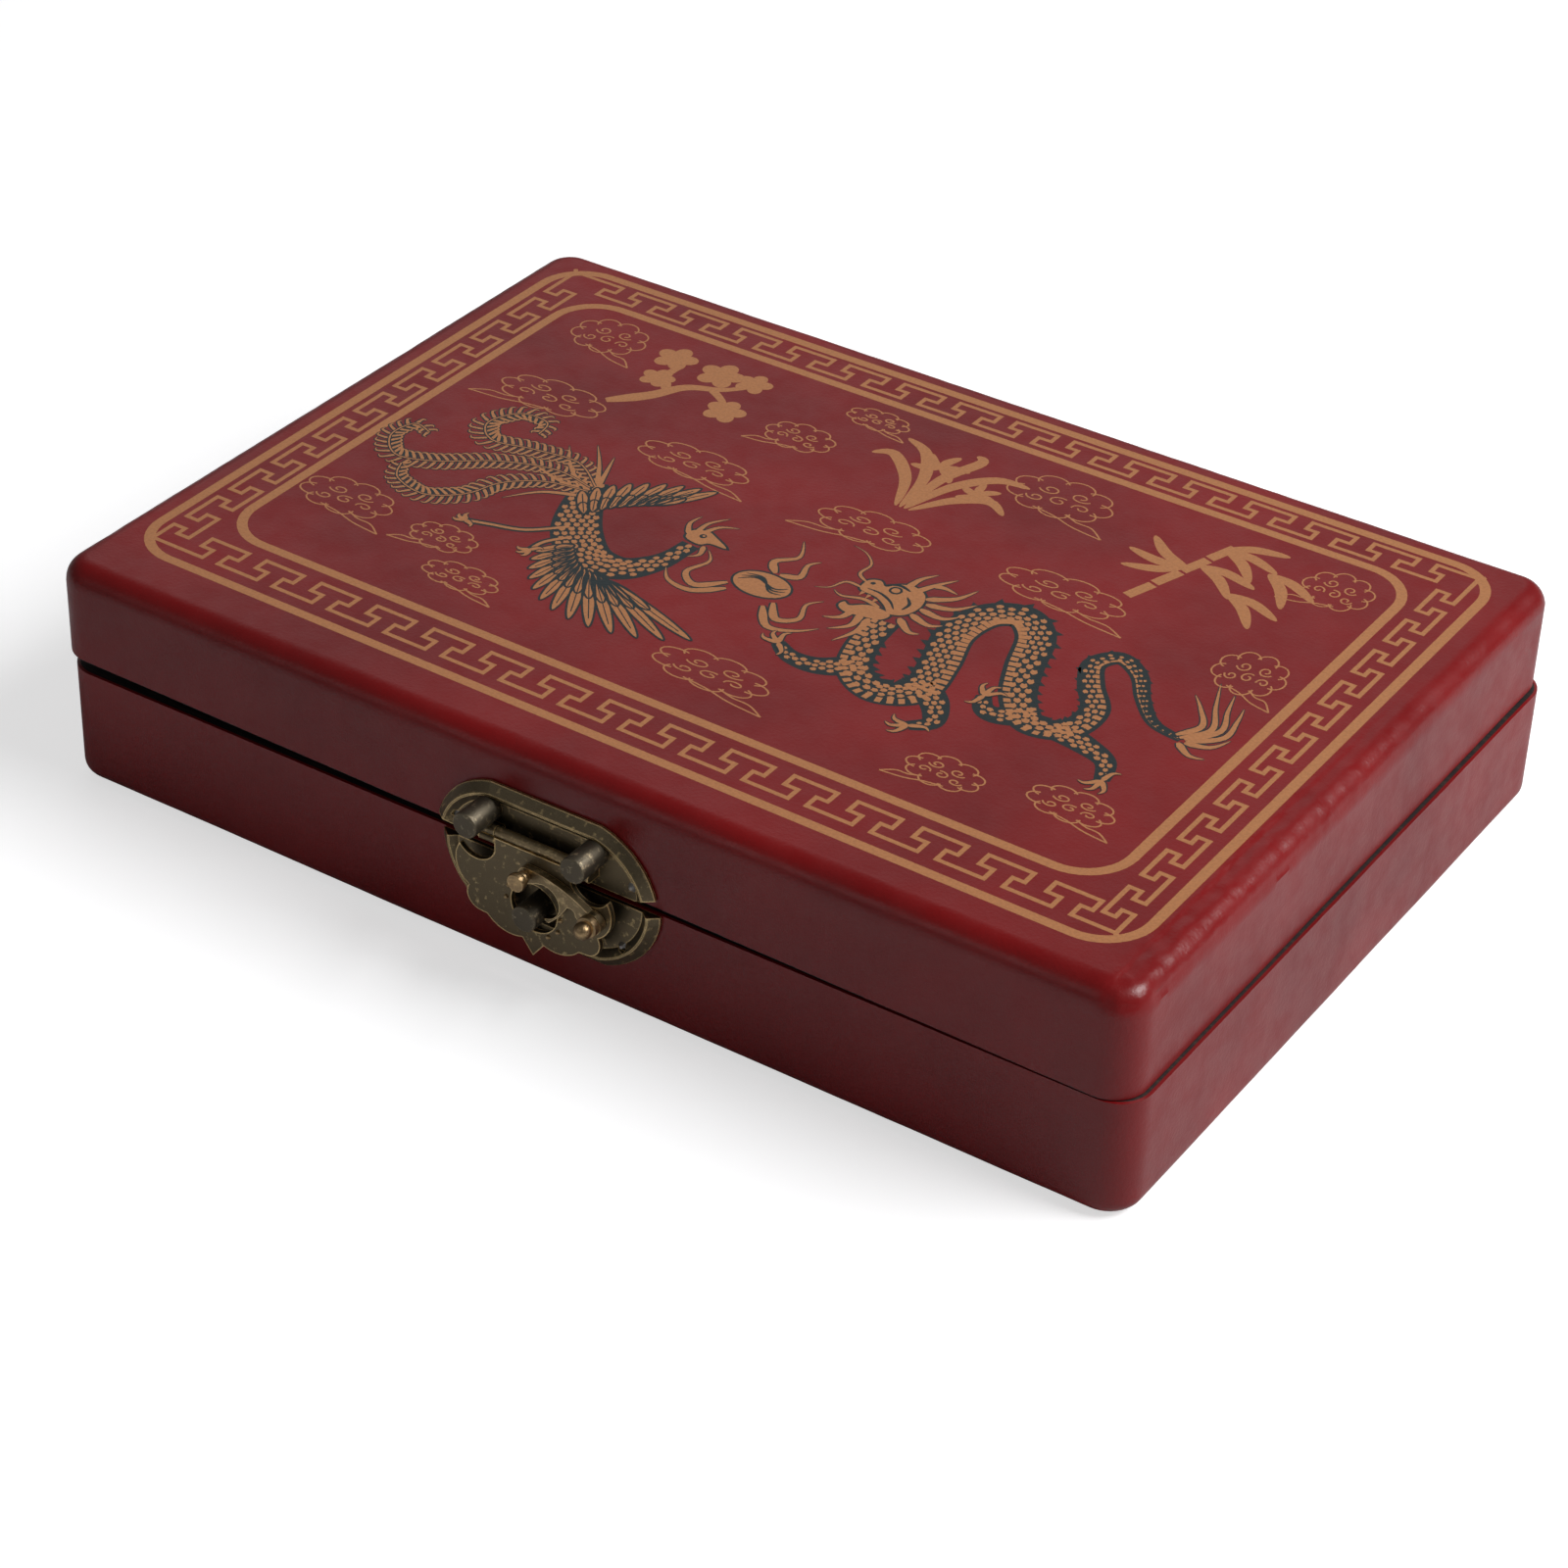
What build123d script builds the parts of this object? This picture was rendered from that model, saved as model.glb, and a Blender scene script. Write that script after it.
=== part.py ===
from build123d import *
import os

os.makedirs("parts", exist_ok=True)

# Millimetres. The origin is the middle of the resting face, +X runs along the long side,
# -Y is the side with the clasp and +Z is up.

# Case
LENGTH = 235.0
DEPTH = 164.0
HEIGHT = 48.0
CORNER = 6.9            # upright edges, outside the covering
TOP_EDGE = 4.5
BOTTOM_EDGE = 3.0
SKIN = 0.9              # leatherette with its backing
BOARD = 6.0
BOTTOM_BOARD = 4.0
TOP_BOARD = 5.0
PADDING = 1.2
LINING = 0.8
LINING_FLOOR = 0.6
LINING_DROP = 0.5       # the lining stops this far inside the rim
SHEET = 0.5             # sheet under the bottom
SHEET_MARGIN = 5.0
TURN_IN = 14.0          # the covering is folded this far under the bottom

# The case was covered whole and sawn open, so the two rims are not quite parallel.
BASE_RIM = 25.4
LID_RIM = 27.1          # height of the lid's rim over the origin
LID_RISE_X = -0.0108    # rise of the lid's rim for each millimetre of X
LID_RISE_Y = 0.004
LID_SHIFT = -1.1        # the lid sits this far along X from the base

# Tile trays: two side by side, two deep
TRAY = (108.2, 146.0, 13.4)
TRAY_WALL = 1.6
TRAY_FLOOR = 1.2
TRAY_PITCH = 109.2
TRAY_Y = -0.6
TRAY_GAP = 0.1
NOTCH = (18.0, 12.0, 8.5)   # finger notch: width at its mouth, width at its foot, depth

# Rear hinges
HINGE_X = 72.0
HINGE_WIDTH = 24.0
LEAF = 0.8
LEAF_HEIGHT = 11.0
LEAF_CORNER = 1.2
KNUCKLE_RADIUS = 1.7
HINGE_PIN_RADIUS = 0.75
RUNNING_GAP = 0.06      # between a pin and its bore
HINGE_AXIS_Y = DEPTH / 2 + 1.9
HINGE_AXIS_Z = 26.3
KNUCKLES = 3
KNUCKLE_GAP = 0.25

# Clasp, in its own (u, height) coordinates on the front face; depths run outwards
CLASP_X = -1.45
PLATE_HALF = 23.85
UPPER_EDGE = 26.9       # straight edge of the upper plate
UPPER_TOP = 39.6
LOWER_EDGE = 25.2       # straight edge of the lower plate
LOWER_BOTTOM = 9.8
PLATE_FLAT = 12.0       # half of the flat run opposite the straight edge
PLATE_WALL = 0.5
PLATE_FIELD = 0.9
PLATE_CREST = 2.0
CREST_INSET = 1.8
CREST_WIDTH = 0.4
FIELD_INSET = 3.6
POST_U = 11.75
POST_HEIGHT = 34.6
POST_RADIUS = 2.6
POST_END = 8.9
KEEPER_HEIGHT = 19.6
KEEPER_END = 3.0        # just clear of the hasp's back
BARREL_DEPTH = 3.2
BARREL_HEIGHT = 31.7
BARREL_RADIUS = 1.05
CLASP_PIN_RADIUS = 0.5
BEAD_DEPTH = 3.5
BEAD_HEIGHT = 30.05
BEAD_RADIUS = 0.88
NECK_HALF = 8.4
LUG_GAP = 0.2
LUG_END = 12.0
HASP_BACK = 3.3
HASP_FRONT = 4.4
HOLE_CENTRE = (0.3, 19.2)
HOLE_RADIUS = 5.1
RIVET = (13.8, 22.3)
RIVET_RADIUS = 1.0
LEVER_BACK = 4.5
LEVER_FRONT = 6.0
THUMB = (-0.4, 27.0)
UPPER_TACK = (19.2, 29.7)
LOWER_TACK = (16.2, 16.1)

# Tacks: a low hammered head on a square shank that tapers to its tip
TACK_HEAD = 1.0
TACK_RISE = 0.6
TACK_FACETS = 6
TACK_CROWN = 0.35
TACK_SQUARE = 0.8
TACK_HOLE = 0.86        # square too
TACK_ROOM = 0.15        # round a head in its pocket
TACK_LENGTH = 6.0
TACK_POINT = 0.2


def save(name, *solids):
    """Write one named piece, or a group of alike pieces, to its own file."""
    shape = solids[0] if len(solids) == 1 else Compound(children=list(solids))
    shape.label = name
    export_step(shape, f"parts/{name}.step")


# ---------------------------------------------------------------- case

def block(inset, low, high, top_edge=0.0, bottom_edge=0.0, ease=fillet):
    """Box with rounded upright edges, inset from the case's outline, and with eased long edges."""
    body = extrude(
        RectangleRounded(LENGTH - 2 * inset, DEPTH - 2 * inset, CORNER - inset), high - low
    )
    body = Pos(0, 0, low) * body
    if top_edge:
        body = ease(body.faces().sort_by(Axis.Z)[-1].edges(), top_edge)
    if bottom_edge:
        body = ease(body.faces().sort_by(Axis.Z)[0].edges(), bottom_edge)
    return body


def planed(edge):
    """Length of the flat planed on the boards under a rounded edge of the covering."""
    return (2 - 2**0.5) * (edge - SKIN)


def slab(low, high):
    """Everything between two heights."""
    return Pos(0, 0, (low + high) / 2) * Box(2 * LENGTH, 2 * DEPTH, high - low)


def lid_rim(rise=0.0):
    """Plane of the lid's sawn rim, or a plane above it."""
    return Plane(origin=(0, 0, LID_RIM + rise), z_dir=(-LID_RISE_X, -LID_RISE_Y, 1))


def cut_at_rim(shape, rise=0.0):
    """The part of a lid piece above the rim, moved to where the lid sits."""
    return split(Pos(LID_SHIFT, 0, 0) * shape, bisect_by=lid_rim(rise), keep=Keep.TOP)


def frame_boards(core):
    """Front, rear, left and right boards of a core: the long boards run past the short ones."""
    outer_x = LENGTH / 2 - SKIN
    outer_y = DEPTH / 2 - SKIN
    long_board = Box(LENGTH, BOARD, 4 * HEIGHT)
    short_board = Box(BOARD, 2 * (outer_y - BOARD), 4 * HEIGHT)
    return {
        "front": core & Pos(0, -outer_y + BOARD / 2, 0) * long_board,
        "rear": core & Pos(0, outer_y - BOARD / 2, 0) * long_board,
        "left": core & Pos(-outer_x + BOARD / 2, 0, 0) * short_board,
        "right": core & Pos(outer_x - BOARD / 2, 0, 0) * short_board,
    }


def liner(low, high, floor_low, floor_high):
    """Box-shaped lining of a half, closed at the side of its floor."""
    long = LENGTH - 2 * (SKIN + BOARD)
    deep = DEPTH - 2 * (SKIN + BOARD)
    shell = Pos(0, 0, low) * extrude(Rectangle(long, deep), high - low)
    room = Rectangle(long - 2 * LINING, deep - 2 * LINING)
    hollow_low = floor_high if floor_low == low else low - 1
    hollow_high = floor_low if floor_high == high else high + 1
    return shell - Pos(0, 0, hollow_low) * extrude(room, hollow_high - hollow_low)


def make_base():
    under = SHEET + SKIN
    floor_top = under + BOTTOM_BOARD
    core = block(SKIN, under, BASE_RIM, bottom_edge=planed(BOTTOM_EDGE), ease=chamfer)
    save("bottom_board", core & slab(under, floor_top))
    for side, board in frame_boards(core & slab(floor_top, BASE_RIM)).items():
        save(f"base_{side}_board", board)

    window = Rectangle(LENGTH - 2 * TURN_IN, DEPTH - 2 * TURN_IN)
    covering = block(0, SHEET, BASE_RIM, bottom_edge=BOTTOM_EDGE) - core
    covering -= extrude(window, under)
    save("base_leather", covering)

    sheet = extrude(
        RectangleRounded(LENGTH - 2 * SHEET_MARGIN, DEPTH - 2 * SHEET_MARGIN, CORNER), SHEET
    )
    save("bottom_sheet", sheet + extrude(window, under))
    save("base_lining", liner(floor_top, BASE_RIM - LINING_DROP, floor_top, floor_top + LINING_FLOOR))


def make_lid():
    top = HEIGHT - SKIN
    board_top = top - PADDING
    board_low = board_top - TOP_BOARD
    start = BASE_RIM - 5
    core = block(SKIN, start, top, top_edge=planed(TOP_EDGE), ease=chamfer)
    save("lid_padding", cut_at_rim(core & slab(board_top, top)))
    save("lid_top_board", cut_at_rim(core & slab(board_low, board_top)))
    for side, board in frame_boards(core & slab(start, board_low)).items():
        save(f"lid_{side}_board", cut_at_rim(board))
    save("lid_leather", cut_at_rim(block(0, start, HEIGHT, top_edge=TOP_EDGE) - core))
    lining = liner(start, board_low, board_low - LINING_FLOOR, board_low)
    save("lid_lining", cut_at_rim(lining, LINING_DROP))


def tray(x, low):
    """Open tile tray with a finger notch in the middle of its front and rear walls."""
    long, deep, high = TRAY
    body = extrude(Rectangle(long, deep), high)
    room = Rectangle(long - 2 * TRAY_WALL, deep - 2 * TRAY_WALL)
    body -= Pos(0, 0, TRAY_FLOOR) * extrude(room, high)
    mouth, foot, notch_depth = NOTCH
    notch = Polygon(
        (-mouth / 2, high), (-foot / 2, high - notch_depth), (foot / 2, high - notch_depth),
        (mouth / 2, high), align=None
    )
    body -= extrude(Plane.XZ * notch, deep, both=True)
    return Pos(x, TRAY_Y, low) * body


def make_trays():
    lower = SHEET + SKIN + BOTTOM_BOARD + LINING_FLOOR + TRAY_GAP
    upper = lower + TRAY[2] + TRAY_GAP
    for level, low in (("lower", lower), ("upper", upper)):
        save(f"{level}_left_tray", tray(-TRAY_PITCH / 2, low))
        save(f"{level}_right_tray", tray(TRAY_PITCH / 2, low))


# ---------------------------------------------------------------- rear hinges

def hinge_cylinder(radius, x_low, x_high):
    """Round bar on the hinge axis."""
    bar = Cylinder(radius, x_high - x_low, rotation=(0, 90, 0))
    return Pos((x_low + x_high) / 2, HINGE_AXIS_Y, HINGE_AXIS_Z) * bar


def hinge_leaf(x, up):
    """Leaf of a butt hinge with its own knuckles: the lid's leaf has the middle one."""
    pitch = HINGE_WIDTH / KNUCKLES
    left = x - HINGE_WIDTH / 2
    face = DEPTH / 2
    sign = 1 if up else -1
    plate = Pos(x, face + LEAF / 2, HINGE_AXIS_Z + sign * LEAF_HEIGHT / 2) * Box(
        HINGE_WIDTH, LEAF, LEAF_HEIGHT
    )
    far = plate.faces().sort_by(Axis.Z)[-1 if up else 0]
    plate = fillet(far.edges().filter_by(Axis.Y), LEAF_CORNER)
    for k in range(KNUCKLES):
        low = left + k * pitch
        high = low + pitch
        if (k % 2 == 1) == up:
            plate += hinge_cylinder(KNUCKLE_RADIUS, low + KNUCKLE_GAP / 2, high - KNUCKLE_GAP / 2)
        else:
            reach = 2 * (KNUCKLE_RADIUS + KNUCKLE_GAP)
            notch = Box(pitch + KNUCKLE_GAP, reach, reach)
            plate -= Pos((low + high) / 2, HINGE_AXIS_Y, HINGE_AXIS_Z) * notch
    return plate - hinge_cylinder(HINGE_PIN_RADIUS + RUNNING_GAP, left - 1, left + HINGE_WIDTH + 1)


def tack(x, y, z, outward):
    """Tack driven into a face whose outward normal is +Y or -Y."""
    rim = RegularPolygon(TACK_HEAD, TACK_FACETS)
    crown = Pos(0, 0, TACK_RISE) * RegularPolygon(TACK_CROWN, TACK_FACETS)
    neck = Rectangle(TACK_SQUARE, TACK_SQUARE)
    point = Pos(0, 0, -TACK_LENGTH) * Rectangle(TACK_POINT, TACK_POINT)
    body = loft([rim, crown], ruled=True) + loft([point, neck], ruled=True)
    return Pos(x, y, z) * Rot(-90 * outward, 0, 0) * body


def tack_hole(x, y, z):
    return Pos(x, y, z) * Box(TACK_HOLE, TACK_LENGTH, TACK_HOLE)


def make_hinges():
    tacks = {True: [], False: []}
    for side, x in (("left", -HINGE_X), ("right", HINGE_X)):
        for half, up in (("lid", True), ("base", False)):
            leaf = hinge_leaf(x, up)
            z = HINGE_AXIS_Z + (1 if up else -1) * LEAF_HEIGHT * 0.62
            for dx in (-HINGE_WIDTH / 3, HINGE_WIDTH / 3):
                leaf -= tack_hole(x + dx, DEPTH / 2, z)
                tacks[up].append(tack(x + dx, DEPTH / 2 + LEAF, z, 1))
            save(f"{side}_hinge_{half}_leaf", leaf)
        half_width = HINGE_WIDTH / 2
        save(f"{side}_hinge_pin", hinge_cylinder(HINGE_PIN_RADIUS, x - half_width, x + half_width))
    save("lid_hinge_tacks", *tacks[True])
    save("base_hinge_tacks", *tacks[False])


# ---------------------------------------------------------------- clasp

def front(x, depth=0.0):
    """Plane on the front face, moved outwards by a depth; its axes are (u, height)."""
    return Plane(origin=(x, -DEPTH / 2 - depth, 0), x_dir=(1, 0, 0), z_dir=(0, -1, 0))


def plate_outline(edge, far, corner_rise, side_rise, inset=0.0, run_out=0.0):
    """Half-oval plate: straight at `edge`, flat at `far`, with one arc at each end.

    With a run-out the outline passes the straight edge, to cut an open-ended recess.
    """
    sign = 1 if far > edge else -1
    half = PLATE_HALF - inset
    flat = PLATE_FLAT - inset / 3
    top = far - sign * inset
    side = edge + sign * side_rise
    middle = (0.46 * flat + 0.54 * half + 0.6, 0.69 * top + 0.31 * side)
    start = edge - sign * run_out
    corner = half - (0 if run_out else corner_rise * 2.6)
    right = [
        Line((0, start), (corner, start)),
        Line((corner, start), (half, side)),
        ThreePointArc((half, side), middle, (flat, top)),
        Line((flat, top), (0, top)),
    ]
    if corner == half:
        right[0:2] = [Line((0, start), (half, start)), Line((half, start), (half, side))]
    curve = Curve() + right
    return make_face(curve + mirror(curve, Plane.YZ))


def plate(x, edge, far, corner_rise, side_rise):
    """Plate with a raised rim round its curved side and a recessed field."""
    shape = (edge, far, corner_rise, side_rise)
    body = extrude(front(x) * plate_outline(*shape), PLATE_WALL)
    low = front(x, PLATE_WALL) * plate_outline(*shape)
    high = front(x, PLATE_CREST) * plate_outline(*shape, inset=CREST_INSET)
    body += loft([low, high], ruled=True)
    run = 8.0
    floor = front(x, PLATE_FIELD) * plate_outline(*shape, inset=FIELD_INSET, run_out=run)
    mouth = front(x, PLATE_CREST) * plate_outline(*shape, inset=CREST_INSET + CREST_WIDTH, run_out=run)
    over = front(x, PLATE_CREST + 1) * plate_outline(
        *shape, inset=CREST_INSET + CREST_WIDTH, run_out=run
    )
    return body - loft([floor, mouth], ruled=True) - loft([mouth, over], ruled=True)


def stud(x, u, height, low, high, radius):
    """Round bar standing out of the front face."""
    return extrude(front(x + u, low) * Pos(0, height) * Circle(radius), high - low)


def bar_along_x(x, depth, height, radius, u_low, u_high):
    """Round bar lying along X in front of the front face."""
    bar = Cylinder(radius, u_high - u_low, rotation=(0, 90, 0))
    return Pos(x + (u_low + u_high) / 2, -DEPTH / 2 - depth, height) * bar


def plate_tacks(x, place):
    """The two tacks that hold a plate to the front board."""
    face = -DEPTH / 2 - PLATE_FIELD
    return [tack(x + side * place[0], face, place[1], -1) for side in (-1, 1)]


def punched(body, x, place):
    """A plate with the holes for its two tacks and a pocket in its rim for each head."""
    pocket = Pos(0, place[1]) * RegularPolygon(TACK_HEAD + TACK_ROOM, TACK_FACETS)
    for side in (-1, 1):
        u = x + side * place[0]
        body -= tack_hole(u, -DEPTH / 2, place[1])
        body -= extrude(front(u, PLATE_FIELD) * pocket, PLATE_CREST)
    return body


def make_upper_clasp():
    x = CLASP_X + LID_SHIFT
    body = plate(x, UPPER_EDGE, UPPER_TOP, 1.4, 1.4)
    posts = [stud(x, s * POST_U, POST_HEIGHT, PLATE_FIELD, POST_END, POST_RADIUS) for s in (-1, 1)]
    bore = bar_along_x(x, BARREL_DEPTH, BARREL_HEIGHT, CLASP_PIN_RADIUS, -LUG_END, LUG_END)
    for s in (-1, 1):
        ends = sorted((s * (NECK_HALF + LUG_GAP), s * LUG_END))
        lug = bar_along_x(x, BARREL_DEPTH, BARREL_HEIGHT, BARREL_RADIUS, *ends)
        lug += bar_along_x(x, BEAD_DEPTH, BEAD_HEIGHT, BEAD_RADIUS, *ends)
        web_low = BEAD_HEIGHT - BEAD_RADIUS
        web = Rectangle(ends[1] - ends[0], BARREL_HEIGHT - web_low, align=Align.MIN)
        web = front(x, PLATE_FIELD) * Pos(ends[0], web_low) * web
        lug += extrude(web, BARREL_DEPTH - PLATE_FIELD)
        body += lug
    for post in posts:
        body -= post
    save("clasp_upper_plate", punched(body - bore, x, UPPER_TACK))
    save("clasp_left_post", posts[0])
    save("clasp_right_post", posts[1])
    pin_half = LUG_END - 1.2
    save("clasp_hinge_pin", bar_along_x(
        x, BARREL_DEPTH, BARREL_HEIGHT, CLASP_PIN_RADIUS, -pin_half, pin_half
    ))
    save("upper_plate_tacks", *plate_tacks(x, UPPER_TACK))


def make_lower_clasp():
    body = plate(CLASP_X, LOWER_EDGE, LOWER_BOTTOM, 0.0, 1.5)
    save("clasp_lower_plate", punched(body, CLASP_X, LOWER_TACK))
    save("keeper_post", stud(CLASP_X, 0, KEEPER_HEIGHT, PLATE_FIELD, KEEPER_END, POST_RADIUS))
    save("lower_plate_tacks", *plate_tacks(CLASP_X, LOWER_TACK))


def hasp_outline():
    """Hasp: a neck, two notches that clear the posts, pointed ears, scallops and a point."""
    right = [
        Line((0, BARREL_HEIGHT), (NECK_HALF, BARREL_HEIGHT)),
        Line((NECK_HALF, BARREL_HEIGHT), (NECK_HALF, 28.0)),
        ThreePointArc((NECK_HALF, 28.0), (11.3, 25.1), (16.2, 26.8)),
        ThreePointArc((16.2, 26.8), (17.1, 22.4), (14.3, 18.4)),
        ThreePointArc((14.3, 18.4), (14.6, 15.9), (12.0, 13.7)),
        Line((12.0, 13.7), (10.2, 13.6)),
        ThreePointArc((10.2, 13.6), (6.8, 11.5), (2.4, 11.7)),
        Line((2.4, 11.7), (0, 8.6)),
    ]
    curve = Curve() + right
    return make_face(curve + mirror(curve, Plane.YZ))


def make_hasp():
    x = CLASP_X + LID_SHIFT
    sheet = extrude(front(x, HASP_BACK) * hasp_outline(), HASP_FRONT - HASP_BACK)
    roll = bar_along_x(x, BARREL_DEPTH, BARREL_HEIGHT, BARREL_RADIUS, -NECK_HALF, NECK_HALF)
    bead = bar_along_x(x, BEAD_DEPTH, BEAD_HEIGHT, BEAD_RADIUS, -NECK_HALF, NECK_HALF)
    crown = Pos(x, -DEPTH / 2 - HASP_FRONT, BARREL_HEIGHT) * Box(
        3 * NECK_HALF, 2 * (HASP_FRONT - HASP_BACK), 1.4 * BARREL_RADIUS
    )
    body = (sheet - crown) + roll + bead
    bore = CLASP_PIN_RADIUS + RUNNING_GAP
    body -= bar_along_x(x, BARREL_DEPTH, BARREL_HEIGHT, bore, -LUG_END, LUG_END)
    body -= stud(x, HOLE_CENTRE[0], HOLE_CENTRE[1], 0, 9, HOLE_RADIUS)
    body -= stud(x, RIVET[0], RIVET[1], 0, 9, RIVET_RADIUS)
    save("hasp", body)


def turned(x, place, profile):
    """Piece turned about an axis that stands out of the front face; (radius, depth) points."""
    outline = Polyline((0, profile[0][1]), *profile, (0, profile[-1][1]), close=True)
    body = revolve(make_face(outline), Axis.Y)
    return Pos(x + place[0], -DEPTH / 2, place[1]) * Rot(180, 0, 0) * body


def make_lever():
    x = CLASP_X + LID_SHIFT
    outline = Curve() + [
        ThreePointArc((-0.4, 28.65), (6.2, 27.7), (13.2, 24.42)),
        ThreePointArc((13.2, 24.42), (16.0, 22.3), (12.3, 20.7)),
        Line((12.3, 20.7), (10.5, 22.6)),
        ThreePointArc((10.5, 22.6), (9.5, 23.85), (8.6, 23.6)),
        ThreePointArc((8.6, 23.6), (7.1, 21.3), (4.6, 18.7)),
        Line((4.6, 18.7), (3.4, 19.4)),
        ThreePointArc((3.4, 19.4), (6.9, 23.6), (3.4, 26.5)),
        ThreePointArc((3.4, 26.5), (2.0, 26.2), (0.7, 25.7)),
        ThreePointArc((0.7, 25.7), (-2.0, 26.8), (-0.4, 28.65)),
    ]
    body = extrude(front(x, LEVER_BACK) * make_face(outline), LEVER_FRONT - LEVER_BACK)
    body -= stud(x, RIVET[0], RIVET[1], 0, 9, RIVET_RADIUS + RUNNING_GAP)
    save("swing_lever", body)
    save("thumb_knob", turned(x, THUMB, [
        (0.9, LEVER_FRONT),
        (1.4, 6.8),
        (1.0, 7.6),
        (2.05, 8.2),
        (1.6, 8.9),
        (0.8, 9.2),
    ]))
    save("lever_rivet", turned(x, RIVET, [
        (1.7, 2.9),
        (1.7, HASP_BACK),
        (RIVET_RADIUS, HASP_BACK),
        (RIVET_RADIUS, LEVER_FRONT + 0.1),
        (2.1, LEVER_FRONT + 0.1),
        (2.1, 7.5),
        (1.8, 8.8),
        (0.6, 10.0),
    ]))


make_base()
make_lid()
make_trays()
make_hinges()
make_upper_clasp()
make_lower_clasp()
make_hasp()
make_lever()
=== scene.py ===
"""Looks of the hinged game case: covering, print, clasp, insides and studio."""

import math

import bpy
from mathutils import Matrix, Vector, noise


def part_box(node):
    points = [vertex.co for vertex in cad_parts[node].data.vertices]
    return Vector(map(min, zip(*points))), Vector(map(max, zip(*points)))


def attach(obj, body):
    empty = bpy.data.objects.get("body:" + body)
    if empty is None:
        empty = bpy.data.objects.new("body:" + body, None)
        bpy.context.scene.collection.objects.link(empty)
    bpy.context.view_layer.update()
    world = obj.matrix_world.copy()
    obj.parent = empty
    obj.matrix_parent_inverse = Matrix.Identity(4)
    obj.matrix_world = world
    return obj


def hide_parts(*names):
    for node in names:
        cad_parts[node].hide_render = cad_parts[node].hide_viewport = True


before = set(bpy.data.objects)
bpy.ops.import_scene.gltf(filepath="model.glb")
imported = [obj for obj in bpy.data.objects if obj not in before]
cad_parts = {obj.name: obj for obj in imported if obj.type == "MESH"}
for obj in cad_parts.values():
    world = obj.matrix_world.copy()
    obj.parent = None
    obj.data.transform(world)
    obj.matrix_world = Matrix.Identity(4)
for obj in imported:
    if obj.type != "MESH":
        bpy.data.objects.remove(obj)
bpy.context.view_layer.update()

MM = 0.001


# ---------------------------------------------------------------- sizes, in millimetres

def node_box(node):
    """Lowest and highest corner of a CAD node."""
    low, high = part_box(node)
    return Vector(low) / MM, Vector(high) / MM


BASE_LOW, BASE_HIGH = node_box("base_leather")
LID_LOW, LID_HIGH = node_box("lid_leather")
LENGTH = BASE_HIGH.x - BASE_LOW.x
DEPTH = BASE_HIGH.y - BASE_LOW.y
BASE_RIM = BASE_HIGH.z
LID_TOP = LID_HIGH.z
LID_X = (LID_LOW.x + LID_HIGH.x) / 2
SHEET = BASE_LOW.z          # thickness of the sheet under the bottom
CORNER = 6.9                # radius of the upright edges
TOP_EDGE = 4.5
BOTTOM_EDGE = 3.0
SKIN = 0.9                  # thickness of the covering
TURN_IN = 14.0              # how far it is folded in under the bottom
LID_RIM = 27.1              # height of the lid's sawn rim over the origin, and its rise along X and Y
LID_RISE_X = -0.0108
LID_RISE_Y = 0.004
RED_LEDGE = 0.7             # the base's covering stays red this far over its rim
RAGGED = 0.06               # how far the sawn edges of the covering wander, over what length and height
RAG_LENGTH = 0.9
RAG_HEIGHT = 0.4
MOST_SINK = 0.6             # dents stay shallower than the covering is thick
FACE_SINK = 0.07            # the printed face lies this far below the lid's highest point


# ---------------------------------------------------------------- node materials

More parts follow.
